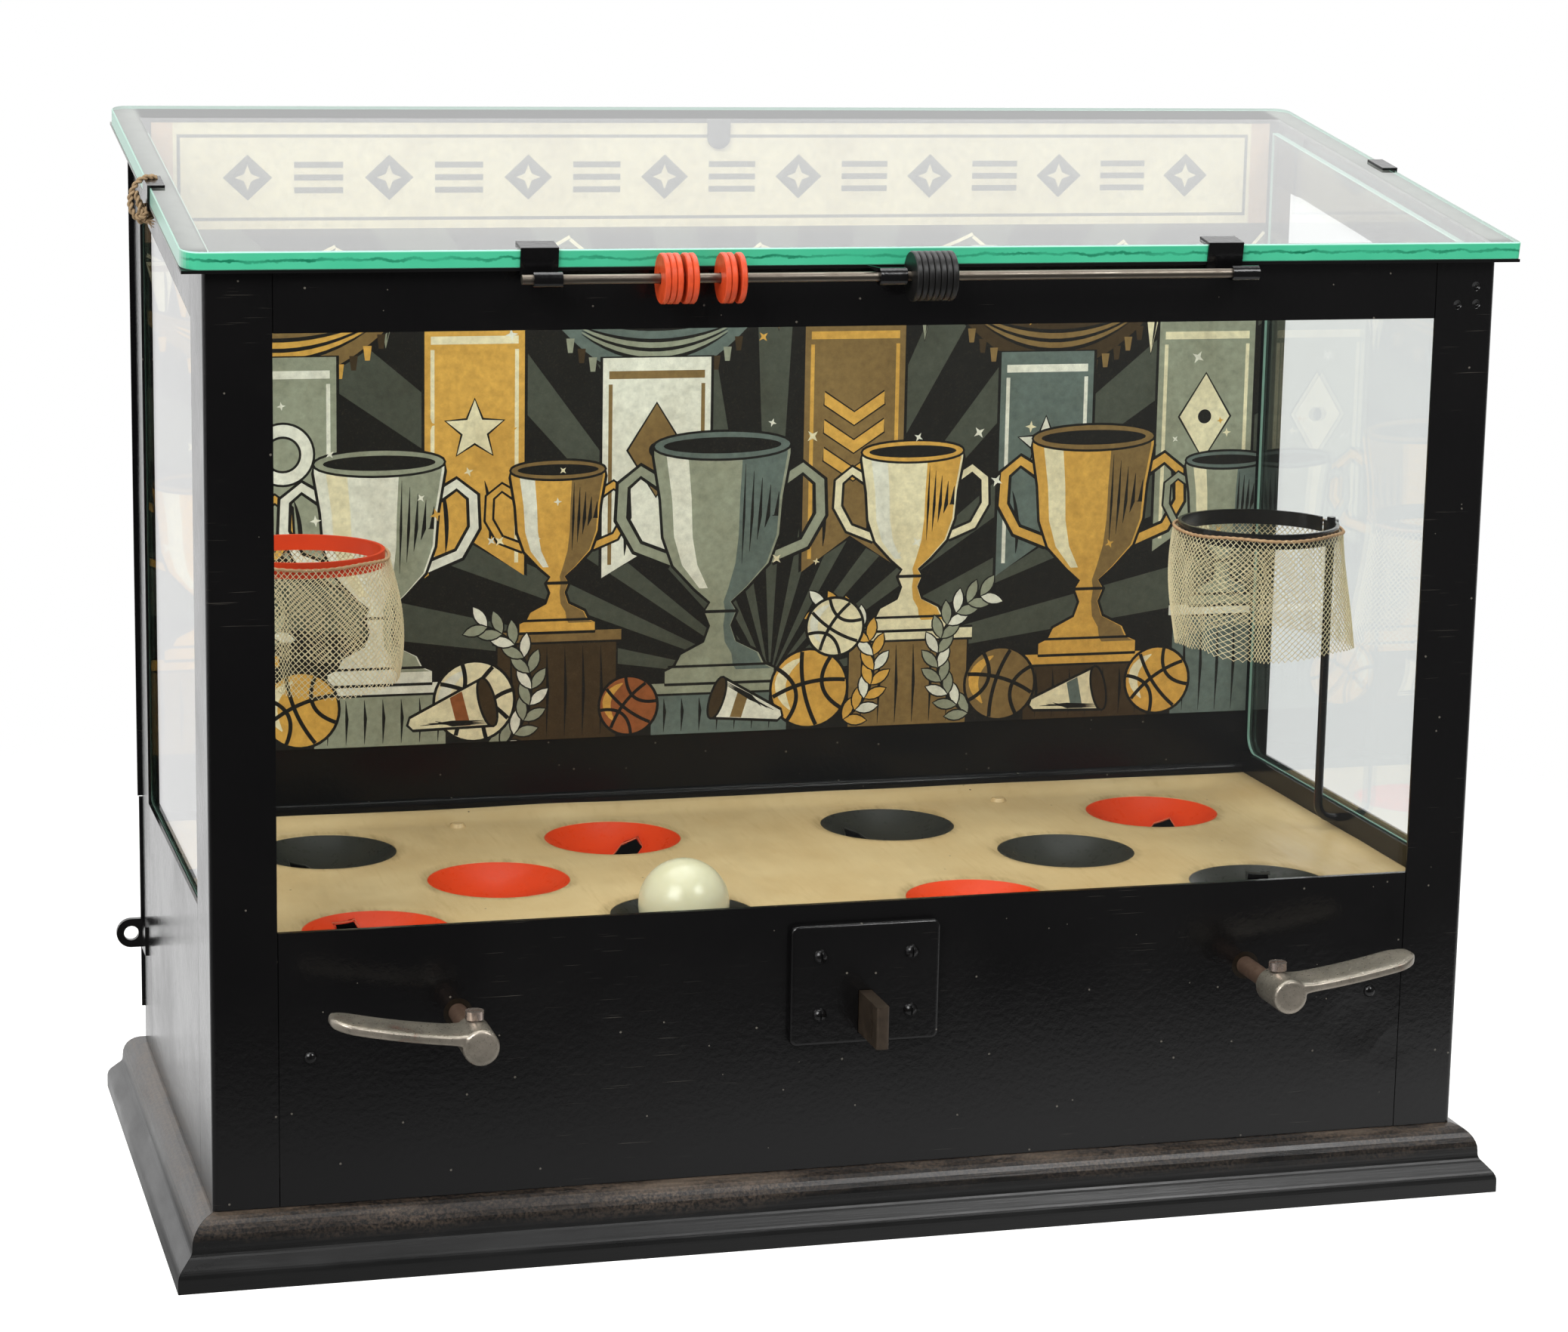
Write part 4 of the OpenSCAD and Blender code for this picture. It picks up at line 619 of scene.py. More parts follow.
def brush(path, w, taper=True):
    """A stroke along a path, thin at its ends."""
    left, right_side = [], []
    count = len(path)
    for i, (x, y) in enumerate(path):
        (ax, ay), (bx, by) = path[max(0, i - 1)], path[min(count - 1, i + 1)]
        run = math.hypot(bx - ax, by - ay) or 1
        t = i / (count - 1)
        half = w / 2 * ((0.12 + 0.88 * math.sin(math.pi * t) ** 0.7) if taper else 1)
        left.append((x - (by - ay) / run * half, y + (bx - ax) / run * half))
        right_side.append((x + (by - ay) / run * half, y - (bx - ax) / run * half))
    return left + right_side[::-1]


def bow(a, b, sag, count=10):
    """A path from a to b that bends by sag to its left."""
    run = math.hypot(b[0] - a[0], b[1] - a[1])
    nx, ny = -(b[1] - a[1]) / run, (b[0] - a[0]) / run
    return [(a[0] + (b[0] - a[0]) * t + nx * sag * 4 * t * (1 - t),
             a[1] + (b[1] - a[1]) * t + ny * sag * 4 * t * (1 - t)) for t in np.linspace(0, 1, count)]


def star(u, v, r, arms=5, inner=0.42, turn=90):
    return [(u + (r if i % 2 == 0 else r * inner) * math.cos(math.radians(turn + 180 * i / arms)),
             v + (r if i % 2 == 0 else r * inner) * math.sin(math.radians(turn + 180 * i / arms)))
            for i in range(2 * arms)]


def pennant(u, v, w, h, swing, tone):
    tip = (u + w / 2 + swing, v - h)
    lined(tone, [(u, v), tip, (u + w, v)], 0.8)
    lay("ink", brush(bow((u + w * 0.62, v - 1), (tip[0] + 0.4, tip[1] + 3), 0.6), 1.1))
    lay("cream" if tone != "cream" else "taupe", [(u + 0.8, v - 1.4), (u + w - 0.8, v - 1.4),
                                                 (u + w - 1.7, v - 3.6), (u + 1.7, v - 3.6)])


def banner(u, v, w, h, tone, trim, sign):
    lined(tone, [(u - w / 2, v), (u - w / 2, v - h), (u - w * 0.02, v - h * 0.86), (u + w / 2, v - h),
                 (u + w / 2, v)], 1.2)
    lay(trim, [(u - w / 2 + 2.4, v - 5), (u - w / 2 + 2.4, v - 8), (u + w / 2 - 2.4, v - 8),
               (u + w / 2 - 2.4, v - 5)])
    for side in (-1, 1):
        lay(trim, brush([(u + side * (w / 2 - 3), v - 10), (u + side * (w / 2 - 3), v - h + 5)], 1.5, False))
    mid = v - h * 0.42
    if sign == "star":
        lined(trim, star(u, mid, w * 0.3), 0.9)
    elif sign == "ring":
        lined(trim, disc(u, mid, w * 0.28), 0.9)
        lined(tone, disc(u, mid, w * 0.15), 0.9)
    elif sign == "lozenge":
        lined(trim, [(u, mid + w * 0.42), (u - w * 0.26, mid), (u, mid - w * 0.42), (u + w * 0.26, mid)], 0.9)
        lay("ink", disc(u, mid, w * 0.07))
    else:
        for k in range(3):
            y = mid + w * (0.32 - 0.27 * k)
            lined(trim, [(u - w * 0.3, y), (u, y - w * 0.2), (u + w * 0.3, y), (u + w * 0.3, y - w * 0.12),
                         (u, y - w * 0.32), (u - w * 0.3, y - w * 0.12)], 0.6)
    for k, x in enumerate((-0.34, 0.1, 0.36)):
        lay("ink", brush(bow((u + w * x, v - h * 0.62), (u + w * (x + 0.05), v - h * (0.9 - 0.03 * k)), 1.2), 1.7))


cup_side = [(0.38, 0), (0.38, 0.05), (0.31, 0.07), (0.27, 0.12), (0.11, 0.17), (0.07, 0.24), (0.11, 0.3),
            (0.07, 0.34), (0.18, 0.4), (0.33, 0.5), (0.4, 0.62), (0.42, 0.78), (0.47, 0.96), (0.47, 1.0)]


def trophy(u, v, h, tone, light, shade):
    w = h * 0.62
    for side in (-1, 1):
        loop = [(0.41, 0.84), (0.56, 0.9), (0.68, 0.84), (0.69, 0.7), (0.58, 0.58), (0.34, 0.52)]
        path = [(u + side * w * x, v + h * y) for x, y in loop]
        lay("ink", brush(path, 5.6 * h / 80, False))
        lay(tone, brush(path, 3.2 * h / 80, False))
    body = [(u + w * x, v + h * y) for x, y in cup_side]
    lined(tone, body + [(u - w * x, v + h * y) for x, y in cup_side[::-1]], 1.1)
    lay(shade, [(u + w * x * 0.3, v + h * y) for x, y in cup_side[1:]] +
        [(u + w * x * 0.96, v + h * y) for x, y in cup_side[1:][::-1]])
    lay(light, [(u - w * x * 0.82, v + h * y) for x, y in cup_side[8:13]] +
        [(u - w * x * 0.5, v + h * y) for x, y in cup_side[8:13][::-1]])
    lined(shade, disc(u, v + h, w * 0.09, 5.2, 30), 0.9)
    lay("ink", disc(u, v + h, w * 0.055, 7.4, 30))
    for k in range(5):
        x = 0.36 + 0.13 * k
        lay("ink", brush([(u + w * 0.4 * x, v + h * (0.5 + 0.05 * k)), (u + w * 0.43 * x, v + h * 0.7),
                          (u + w * 0.45 * x, v + h * (0.92 - 0.03 * k))], 1.0 + 0.2 * k))
    lay("ink", brush([(u - w * 0.36, v + h * 0.07), (u + w * 0.36, v + h * 0.07)], 1.0, False))
    lay("ink", brush([(u - w * 0.12, v + h * 0.3), (u + w * 0.12, v + h * 0.3)], 1.2, False))


def game_ball(u, v, r, tone, light, turn):
    lined(tone, disc(u, v, r), 1.1)
    lay(light, brush(bow((u - r * 0.5, v - r * 0.55), (u - r * 0.2, v + r * 0.8), r * 0.42), r * 0.3))
    at_ball = about(u, v, r, turn)
    for a, b, sag in (((-0.99, 0), (0.99, 0), 0.16), ((0, -0.99), (0, 0.99), 0.14),
                      ((-0.72, -0.69), (-0.72, 0.69), -0.36), ((0.72, -0.69), (0.72, 0.69), 0.36)):
        lay("ink", brush(bow(at_ball(*a), at_ball(*b), r * sag, 16), r * 0.085 + 0.35, False))


def megaphone(u, v, length, turn, tone, trim):
    at_horn = about(u, v, length, turn)
    lined(tone, [at_horn(x, y) for x, y in ((0, 0.07), (1, 0.3), (1.05, 0), (1, -0.3), (0, -0.07), (-0.04, 0))], 1.1)
    lay(trim, [at_horn(x, y) for x, y in ((0.55, 0.19), (0.72, 0.23), (0.72, -0.23), (0.55, -0.19))])
    lined("umber", [at_horn(1 + 0.09 * math.cos(a), 0.31 * math.sin(a))
                    for a in np.linspace(0, 2 * math.pi, 24, endpoint=False)], 0.9)
    for k in range(3):
        lay("ink", brush([at_horn(0.1 + 0.1 * k, -0.05), at_horn(0.5, -0.12 - 0.02 * k),
                          at_horn(0.92, -0.22 - 0.02 * k)], 1.2))


def laurel(u, v, r, a0, a1, tone):
    path = [(u + r * math.cos(a), v + r * math.sin(a)) for a in np.linspace(a0, a1, 12)]
    lay("ink", brush(path, 1.4, False))
    for k, a in enumerate(np.linspace(a0, a1, 11)):
        for side in (-1, 1):
            heading = a + math.copysign(math.pi / 2, a1 - a0) + side * 0.62
            x, y = u + r * math.cos(a), v + r * math.sin(a)
            tip = (x + 9.5 * math.cos(heading), y + 9.5 * math.sin(heading))
            leaf = bow((x, y), tip, 1.9, 6) + bow(tip, (x, y), 1.9, 6)[1:-1]
            lined(tone if (k + side) % 3 else "chalk", leaf, 0.6)


def drape(u0, u1, v, drop, tone, light):
    upper = bow((u0, v), (u1, v), -drop * 0.35, 18)
    lower = bow((u0, v - 5), (u1, v - 5), -drop, 18)
    lined(tone, upper + lower[::-1], 1.1)
    for k in range(1, 6):
        f = k / 6
        a = bow((u0, v - 1), (u1, v - 1), -drop * (0.4 + 0.52 * f), 18)
        lay("ink" if k % 2 else light, brush(a[2:-2], 1.6 if k % 2 else 2.3))
    for k in range(1, 17):
        x, y = lower[k]
        lay(light if k % 2 else "umber", [(x - 1.6, y), (x + 1.6, y), (x + 0.9, y - 5.4), (x - 0.9, y - 5.4)])


def plinth(u, v, w, h, tone, light):
    lined(tone, rect(u - w / 2, v, u + w / 2, v + h), 1.1)
    lined(light, rect(u - w / 2 - 2, v + h - 4, u + w / 2 + 2, v + h), 0.9)
    for k in range(int(w / 7)):
        x = u - w / 2 + 5 + 7 * k
        lay("ink", brush([(x, v + h - 6), (x + 0.4, v + h * 0.45), (x, v + 1)], 1.3))


card_w, card_h = 216.5, 190.5
card_front, card_thick = 91.72, 0.76
sun_u, sun_v, beam = 18, 20, 420
lay("ink", rect(-card_w, 0, card_w, card_h))
for k in range(13):
    a = math.radians(8 + 13.2 * k)
    b = a + math.radians(5.6)
    lay("moss", [(sun_u, sun_v), (sun_u + beam * math.cos(a), sun_v + beam * math.sin(a)),
                 (sun_u + beam * math.cos(b), sun_v + beam * math.sin(b))])
tones = ("cream", "straw", "sage", "taupe", "chalk", "slate")
posts = (-216, -150, -62, 12, 96, 158, 216)
for k in range(6):
    rope = bow((posts[k], 186 - 3 * (k % 2)), (posts[k + 1], 184 + 3 * (k % 2)), -9 - 3 * (k % 3), 15)
    lay("cream", brush(rope, 1.3, False))
    for j in range(1, 13, 2):
        x, y = rope[j]
        pennant(x - 5, y, 10.5, 21 + 4 * ((j + k) % 3), 2 - (j % 4), tones[(j // 2 + k) % 6])
drape(-216, -128, 166, 22, "taupe", "straw")
drape(-66, 8, 163, 20, "slate", "sage")
drape(92, 170, 165, 21, "umber", "taupe")
for u, v, w, h, tone, trim, sign in (
        (-170, 148, 40, 86, "sage", "chalk", "ring"), (-98, 160, 38, 96, "straw", "cream", "star"),
        (-28, 146, 42, 84, "chalk", "taupe", "lozenge"), (50, 160, 40, 98, "taupe", "straw", "bars"),
        (128, 146, 38, 88, "slate", "chalk", "star"), (194, 158, 40, 92, "sage", "cream", "lozenge")):
    banner(u, v, w, h, tone, trim, sign)
for u, w, h, tone, light in (
        (-196, 44, 36, "taupe", "straw"), (-134, 50, 24, "sage", "chalk"), (-66, 46, 42, "umber", "taupe"),
        (-2, 54, 20, "slate", "sage"), (74, 48, 38, "taupe", "cream"), (148, 52, 26, "umber", "straw"),
        (204, 40, 44, "slate", "chalk")):
    plinth(u, 0, w, h, tone, light)
for u, v, h, tone, light, shade in (
        (-196, 36, 66, "straw", "cream", "taupe"), (-134, 24, 84, "chalk", "cream", "sage"),
        (-66, 42, 62, "straw", "chalk", "taupe"), (-2, 20, 92, "sage", "chalk", "slate"),
        (74, 38, 70, "cream", "chalk", "straw"), (148, 26, 86, "straw", "cream", "taupe"),
        (204, 44, 58, "sage", "cream", "slate")):
    trophy(u, v, h, tone, light, shade)
laurel(-166, 20, 26, math.radians(250), math.radians(110), "sage")
laurel(-102, 20, 26, math.radians(-70), math.radians(70), "sage")
laurel(36, 24, 24, math.radians(-60), math.radians(80), "straw")
laurel(112, 26, 26, math.radians(240), math.radians(110), "sage")
for u, v, r, tone, light, turn in (
        (-164, 15, 14, "straw", "cream", 0.4), (-98, 16, 15, "cream", "chalk", -0.5),
        (-38, 12, 11, "rust", "straw", 0.9), (34, 16, 15, "straw", "cream", 0.2),
        (44, 40, 11, "cream", "chalk", 1.0), (112, 15, 14, "taupe", "straw", -0.3),
        (178, 14, 13, "straw", "cream", 0.6)):
    game_ball(u, v, r, tone, light, turn)
megaphone(-122, 8, 30, 0.25, "cream", "rust")
megaphone(22, 6, 26, math.pi - 0.3, "chalk", "taupe")
megaphone(126, 6, 28, 0.2, "cream", "slate")
draw = random.Random(7)
for _ in range(40):
    u, v = draw.uniform(-210, 210), draw.uniform(60, 180)
    lay(draw.choice(("cream", "straw", "chalk")), star(u, v, draw.uniform(1.4, 2.8), 4, 0.35, draw.uniform(0, 90)))


def printed_card(name, z0, node):
    """One flat board whose front is split along every printed outline; the last ink laid shows."""
    spread, lines = [], []
    for _, outline in shapes:
        first, count = len(spread), len(outline)
        lines += [(first + i, first + (i + 1) % count) for i in range(count)]
        spread += outline
    flat, _, cut, _, _, _ = geometry.delaunay_2d_cdt(spread, lines, [], 0, 1e-4, False)
    middle = np.array([sum((flat[i] for i in face), Vector((0, 0))) / 3 for face in cut])
    shown = np.full(len(cut), -1)
    for k, (_, outline) in enumerate(shapes):
        low, high = np.min(outline, axis=0), np.max(outline, axis=0)
        near = np.nonzero(((middle > low) & (middle < high)).all(axis=1) & ((shown >= 0) | (k == 0)))[0]
        x, y = middle[near].T
        winding = np.zeros(len(near), int)
        for (ax, ay), (bx, by) in zip(outline, outline[1:] + outline[:1]):
            left_of = (bx - ax) * (y - ay) - (x - ax) * (by - ay)
            winding += ((ay <= y) & (by > y) & (left_of > 0)).astype(int)
            winding -= ((ay > y) & (by <= y) & (left_of < 0)).astype(int)
        shown[near[winding != 0]] = k
    kept = np.nonzero(shown >= 0)[0]
    used = sorted({corner for i in kept for corner in cut[i]})
    number = {corner: n for n, corner in enumerate(used)}
    card = made_piece(name, [(flat[i].x, card_front, z0 + flat[i].y) for i in used],
                      [[number[corner] for corner in cut[i]] for i in kept], lithograph, "cabinet", False)
    paint = card.data.color_attributes.new("print", "FLOAT_COLOR", "CORNER")
    paint.data.foreach_set("color", [c for i in kept for c in inks[shapes[shown[i]][0]] * 3])
    thicken(card, card_thick)
    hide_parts(node)


lithograph, tree, shader, place = new_material("lithograph on pulp board", Specular_IOR_Level=0.12)
ink_tone = add(tree, "VertexColor", layer_name="print")
# uneven ink and pulp fibre, about 0.6 mm, and brown age stains of 20 mm and more
fibre = add(tree, "TexNoise", {"Vector": place, "Scale": 1500, "Detail": 3, "Roughness": 0.7})
age = add(tree, "TexNoise", {"Vector": place, "Scale": 34, "Detail": 5, "Roughness": 0.65})
thin = add(tree, "Mix", {0: add(tree, "MapRange", {"Value": fibre, "From Min": 0.56, "From Max": 0.8,
    "To Max": 0.07}), 6: ink_tone, 7: "#bfae86"}, data_type="RGBA")
# the tint rollers left each tone mottled, 2 to 4 mm
mottle = add(tree, "TexNoise", {"Vector": place, "Scale": 330, "Detail": 5, "Roughness": 0.72})
rolled = add(tree, "Mix", {0: 1.0, 6: thin, 7: add(tree, "MapRange", {"Value": mottle, "From Min": 0.3,
    "From Max": 0.7, "To Min": 0.78, "To Max": 1.12})}, data_type="RGBA", blend_type="MULTIPLY")
aged = add(tree, "Mix", {0: add(tree, "MapRange", {"Value": age, "From Min": 0.45, "From Max": 0.75,
    "To Max": 0.3}), 6: rolled, 7: "#9a8258"}, data_type="RGBA", blend_type="MULTIPLY")
feed(shader, {"Base Color": aged, "Roughness": add(tree, "MapRange", {"Value": fibre, "To Min": 0.5,
    "To Max": 0.75})})
printed_card("printed_picture", 134.5, "picture_card")


# Sign card.  A strip of the same board above the picture, cream inside a single rule with a plain row of
# lozenges and bars; its ends have gone brown.

inks.update({"paper": linear("#cfc09b"), "aged": linear("#b9977a"), "rule": linear("#34342e")})
shapes = []
sign_h = 38.4
lay("aged", rect(-card_w, 0, card_w, sign_h))
lay("paper", rect(-card_w + 7.6, 0, card_w - 7.6, sign_h))
u = card_w - 9
lay("rule", rect(-u, 3, u, 34.2))
lay("paper", rect(-u + 1.2, 4.2, u - 1.2, 33))
for k in range(15):
    u = -182 + 26 * k
    if k % 2:
        for j in (-1, 0, 1):
            lay("rule", rect(u - 9, 18.6 + 4.6 * j - 1.1, u + 9, 18.6 + 4.6 * j + 1.1))
    else:
        lay("rule", [(u - 9, 18.6), (u, 26.9), (u + 9, 18.6), (u, 10.3)])
        lay("paper", star(u, 18.6, 4.6, 4, 0.4))
printed_card("printed_sign", 325, "sign_card")


# Hoops.  Flat strip bent to an open ring, its end curled round the stand: the left one is orange, the right
# one black.

# bright orange, faded in 6 mm clouds
coat(mottled("orange hoop enamel", 160, 4, "#f0481a", "#d83a14", (0.3, 0.5), Specular_IOR_Level=0.3), "left_hoop")
coat(black_enamel, "right_hoop")


# Nets.  Knotted cotton net of about 2 mm mesh, sewn to the hoop by a thicker tan cord and left open below.
# Each net swings out to the right; on the left of its front it is gathered into folds.

hoop_x, hoop_y, net_r = 178.5, -4.5, 31.2
net_top, net_deep = 225.8, 44


def net_ground(side):
    """Knots of a diamond net round one hoop, as an edge mesh."""
    count, depth = 92, 40
    gathered = 3.95
    stray = random.Random(11 + side)
    edges, knots = [], []
    for j in range(depth + 1):
        v = j / depth
        for i in range(count):
            a = 2 * math.pi * (i + 0.5 * (j % 2)) / count
            away, near = ((1 + math.cos(a)) / 2) ** 2, (1 - math.cos(a)) / 2
            fold = math.exp(-((a - gathered) / 0.5) ** 2)
            swing = 6.2 * v ** 1.1 if side > 0 else 4.8 * math.sin(0.72 * math.pi * v)
            r = (net_r + swing * away + near * (1.6 * math.sin(math.pi * v) - 2.0 * v ** 2)
                 + 2.2 * fold * v ** 0.6 * math.sin(11 * (a - gathered) + 1.2 * v) + 0.3 * math.sin(7 * a + 5 * v))
            a += 0.15 * fold * min(1, 3 * v) * math.sin(6 * (a - gathered)) + stray.uniform(-0.004, 0.004)
            sag = v * (net_deep + 1.2 * math.sin(3 * a + side)) + stray.uniform(-0.12, 0.12)
            knots.append((side * hoop_x + r * math.cos(a), hoop_y + r * math.sin(a), net_top - sag))
    for j in range(depth):
        for i in range(count):
            here = j * count + i
            below = (j + 1) * count
            other = (i - 1) % count if j % 2 == 0 else (i + 1) % count
            edges += [(here, below + i), (here, below + other)]
    mesh = bpy.data.meshes.new("net knots")
    mesh.from_pydata([Vector(k) * MM for k in knots], edges, [])
    return mesh


cotton_cord, tree, shader, place = new_material(
    "twisted cotton cord", Roughness=0.85, Specular_IOR_Level=0.2, Sheen_Weight=0.15)
lint = add(tree, "TexNoise", {"Vector": place, "Scale": 700, "Detail": 4, "Roughness": 0.7})
grey = add(tree, "TexNoise", {"Vector": place, "Scale": 70, "Detail": 4})
cotton = add(tree, "Mix", {0: lint, 6: "#fff1d2", 7: "#ead5a8"}, data_type="RGBA")
feed(shader, {"Base Color": add(tree, "Mix", {0: add(tree, "MapRange", {"Value": grey, "From Min": 0.5,
    "From Max": 0.8, "To Max": 0.4}), 6: cotton, 7: "#c4ae82"}, data_type="RGBA"), "Normal": add(tree, "Bump", {
    "Strength": 0.5, "Distance": 0.0003, "Height": lint})})

cord_tree = bpy.data.node_groups.new("knotted net", "GeometryNodeTree")
cord_tree.interface.new_socket("Geometry", in_out="INPUT", socket_type="NodeSocketGeometry")
cord_tree.interface.new_socket("Cord radius", in_out="INPUT", socket_type="NodeSocketFloat")
cord_tree.interface.new_socket("Knot radius", in_out="INPUT", socket_type="NodeSocketFloat")
cord_tree.interface.new_socket("Geometry", in_out="OUTPUT", socket_type="NodeSocketGeometry")
given = add(cord_tree, "NodeGroupInput")
strands = add(cord_tree, "MeshToCurve", {0: given})
ring = add(cord_tree, "CurvePrimitiveCircle", {"Resolution": 3, "Radius": given.outputs["Cord radius"]})
tubes = add(cord_tree, "CurveToMesh", {0: strands, 1: ring})
lump = add(cord_tree, "MeshUVSphere", {"Radius": given.outputs["Knot radius"], "Segments": 4, "Rings": 2})
lumps = add(cord_tree, "InstanceOnPoints", {"Points": given, "Instance": lump})
joined = add(cord_tree, "JoinGeometry")
cord_tree.links.new(lumps.outputs[0], joined.inputs[0])
cord_tree.links.new(tubes.outputs[0], joined.inputs[0])
real = add(cord_tree, "RealizeInstances", {0: joined})
add(cord_tree, "NodeGroupOutput", {0: add(cord_tree, "SetMaterial", {"Geometry": real, "Material": cotton_cord})})


def frozen(pattern):
    """The plain mesh that an object's modifiers make; the object goes."""
    graph = bpy.context.evaluated_depsgraph_get()
    mesh = bpy.data.meshes.new_from_object(pattern.evaluated_get(graph), depsgraph=graph)
    bpy.data.objects.remove(pattern)
    return mesh


def grown(name, ground, tree, **sizes):
    """The mesh that a node tree makes on a ground mesh, as plain geometry."""
    seedling = put(name, ground)
    maker = seedling.modifiers.new("maker", "NODES")
    maker.node_group = tree
    for item in tree.interface.items_tree:
        if item.in_out == "INPUT" and item.name in sizes:
            maker[item.identifier] = sizes[item.name]
    return frozen(seedling)


both = bmesh.new()
for side in (-1, 1):
    both.from_mesh(grown("net ground", net_ground(side), cord_tree, **{
        "Cord radius": 0.00016, "Knot radius": 0.00028}))
joint_mesh = bpy.data.meshes.new("cotton_nets")
both.to_mesh(joint_mesh)
both.free()
joint_mesh.materials.append(cotton_cord)
joint_mesh.shade_smooth()
nets = put("cotton_nets", joint_mesh)
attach(nets, "cabinet")
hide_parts("hoop_nets")

# soft and dull, with the 1 mm twist of its strands
hem_cord = mottled("tan hem cord", 800, 3, "#dcb28c", "#a97f5d", relief=(0.5, 0.0004), Roughness=0.8,
                   Specular_IOR_Level=0.2)
points, faces = [], []
for side in (-1, 1):
    first = len(points)
    steps, ribs = 420, 6
    for i in range(steps):
        a = 2 * math.pi * i / steps
        for k in range(ribs):
            b = 2 * math.pi * k / ribs
            w = 0.6 + 0.12 * math.sin(70 * a + b)
            r = net_r + 0.15 * math.sin(9 * a) + w * math.cos(b)
            points.append((side * hoop_x + r * math.cos(a), hoop_y + r * math.sin(a),
                           225.9 + 0.35 * math.sin(5 * a) + w * math.sin(b)))
    for i in range(steps):
        for k in range(ribs):
            a, b = first + i * ribs + k, first + i * ribs + (k + 1) % ribs
            c, d = first + (i + 1) % steps * ribs + k, first + (i + 1) % steps * ribs + (k + 1) % ribs
            faces.append((a, c, d, b))
hems = made_piece("net_hem_cords", points, faces, hem_cord, "cabinet")


# Panes.  Drawn sheet glass: 3 mm in the front and sides, held behind the rails, and a 6 mm lid whose sawn
# and stoned edges show the green of the glass, with a faint painted glow.

def pane_glass(name, **constants):
    """Clear glass that lets the lamps through."""
    made, tree, shader, _ = new_material(
        name, Base_Color=linear("#fafcfb"), Transmission_Weight=1.0, IOR=1.5, Roughness=0.0, **constants)
    ray = add(tree, "LightPath")
    lit = add(tree, "Math", {0: ray.outputs["Is Shadow Ray"], 1: ray.outputs["Is Diffuse Ray"]},
        operation="MAXIMUM")
    through = add(tree, "BsdfTransparent", {"Color": "#f4f8f5"})
    feed(tree.nodes["Material Output"], {"Surface": add(tree, "MixShader", {0: lit, 1: shader.outputs[0],
        2: through})})
    return made


clear_glass = pane_glass("drawn sheet glass")

# the edge colour also feeds a faint emission: a painted glow
green_edge, tree, shader, place = new_material(
    "sawn glass edge", Specular_IOR_Level=0.3, Roughness=0.3, Emission_Strength=0.1)
height = add(tree, "Attribute", attribute_name="edge_height")
# the saw left a wavy ridge along the middle, with a nick every few centimetres
sway = add(tree, "TexNoise", {"Vector": place, "Scale": 130, "Detail": 4, "Roughness": 0.65})
drift = add(tree, "MapRange", {"Value": sway, "From Min": 0.3, "From Max": 0.7, "To Min": 0.4, "To Max": 0.66})
off = add(tree, "Math", {0: height.outputs["Fac"], 1: drift}, operation="SUBTRACT")
ridge = add(tree, "MapRange", {"Value": add(tree, "Math", {0: off}, operation="ABSOLUTE"), "From Min": 0.035,
    "From Max": 0.11, "To Min": 1.0, "To Max": 0.0}, interpolation_type="SMOOTHSTEP")
fade = add(tree, "TexNoise", {"Vector": place, "Scale": 38, "Detail": 3})
dark = add(tree, "Math", {0: ridge, 1: add(tree, "MapRange", {"Value": fade, "From Min": 0.35, "From Max": 0.6,
    "To Min": 0.25})}, operation="MULTIPLY")
body = add(tree, "Mix", {0: fade, 6: "#2ea57b", 7: "#50b892"}, data_type="RGBA")
lined_edge = add(tree, "Mix", {0: dark, 6: body, 7: "#0c6b4c"}, data_type="RGBA")
arris = add(tree, "MapRange", {"Value": height.outputs["Fac"], "From Min": 0.9, "From Max": 1.0})
pale = add(tree, "Mix", {0: arris, 6: lined_edge, 7: "#b9e6d4"}, data_type="RGBA")
# only the front edge gathers the green of the whole pane; the others are pale
front = add(tree, "Attribute", attribute_name="edge_front")
edge_green_and_painted_glow = add(tree, "Mix", {0: add(tree, "MapRange", {"Value": front.outputs["Fac"], "From Min": 0.25,
    "From Max": 0.8}), 6: "#8fb3a5", 7: pale}, data_type="RGBA")
# the same colour goes to the emission: painted glow
feed(shader, {"Base Color": edge_green_and_painted_glow, "Emission Color": edge_green_and_painted_glow})


def slab(name, outline, lift, thick, place_point, node):
    """A pane from its outline: clear faces, eased arrises and green edges."""
    ease = 0.35
    count = len(outline)
    inner = fattened(outline, -ease)
    layers = [(inner, lift), (outline, lift + ease), (outline, lift + thick - ease), (inner, lift + thick)]
    points = [place_point(u, v, n) for ring, n in layers for u, v in ring]
    faces = [tuple(range(count))[::-1], tuple(range(3 * count, 4 * count))]
    faces += bands(0, 4, count)
    pane = made_piece(name, points, faces, clear_glass, "cabinet", False)
    pane.data.materials.append(green_edge)
    for k, face in enumerate(pane.data.polygons):
        face.material_index = 0 if k < 2 else 1
    pane.data.attributes.new("edge_height", "FLOAT", "POINT").data.foreach_set("value", [
        (n - lift) / thick for ring, n in layers for _ in ring])
    check = bmesh.new()
    check.from_mesh(pane.data)
    bmesh.ops.recalc_face_normals(check, faces=check.faces)
    check.to_mesh(pane.data)
    check.free()
    pane.data.attributes.new("edge_front", "FLOAT", "FACE").data.foreach_set("value", [
        max(0.0, -face.normal.y) for face in pane.data.polygons])
    if node:
        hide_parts(node)
    return pane


def rounded(u0, v0, u1, v1, radii, count=8):
    """A rectangle's outline with its own radius at each corner, from the lower right one on."""
    outline = []
    for (cu, cv, a0), r in zip(((u1, v0, -90), (u1, v1, 0), (u0, v1, 90), (u0, v0, 180)), radii):
        cu += -r if cu == u1 else r
        cv += -r if cv == v1 else r
        for i in range(count + 1 if r else 1):
            a = math.radians(a0 + 90 * i / count)
            outline.append((cu + r * math.cos(a), cv + r * math.sin(a)))
    return outline


slope = math.radians(8.8)
face_y, eaves_z = -101.5, 334


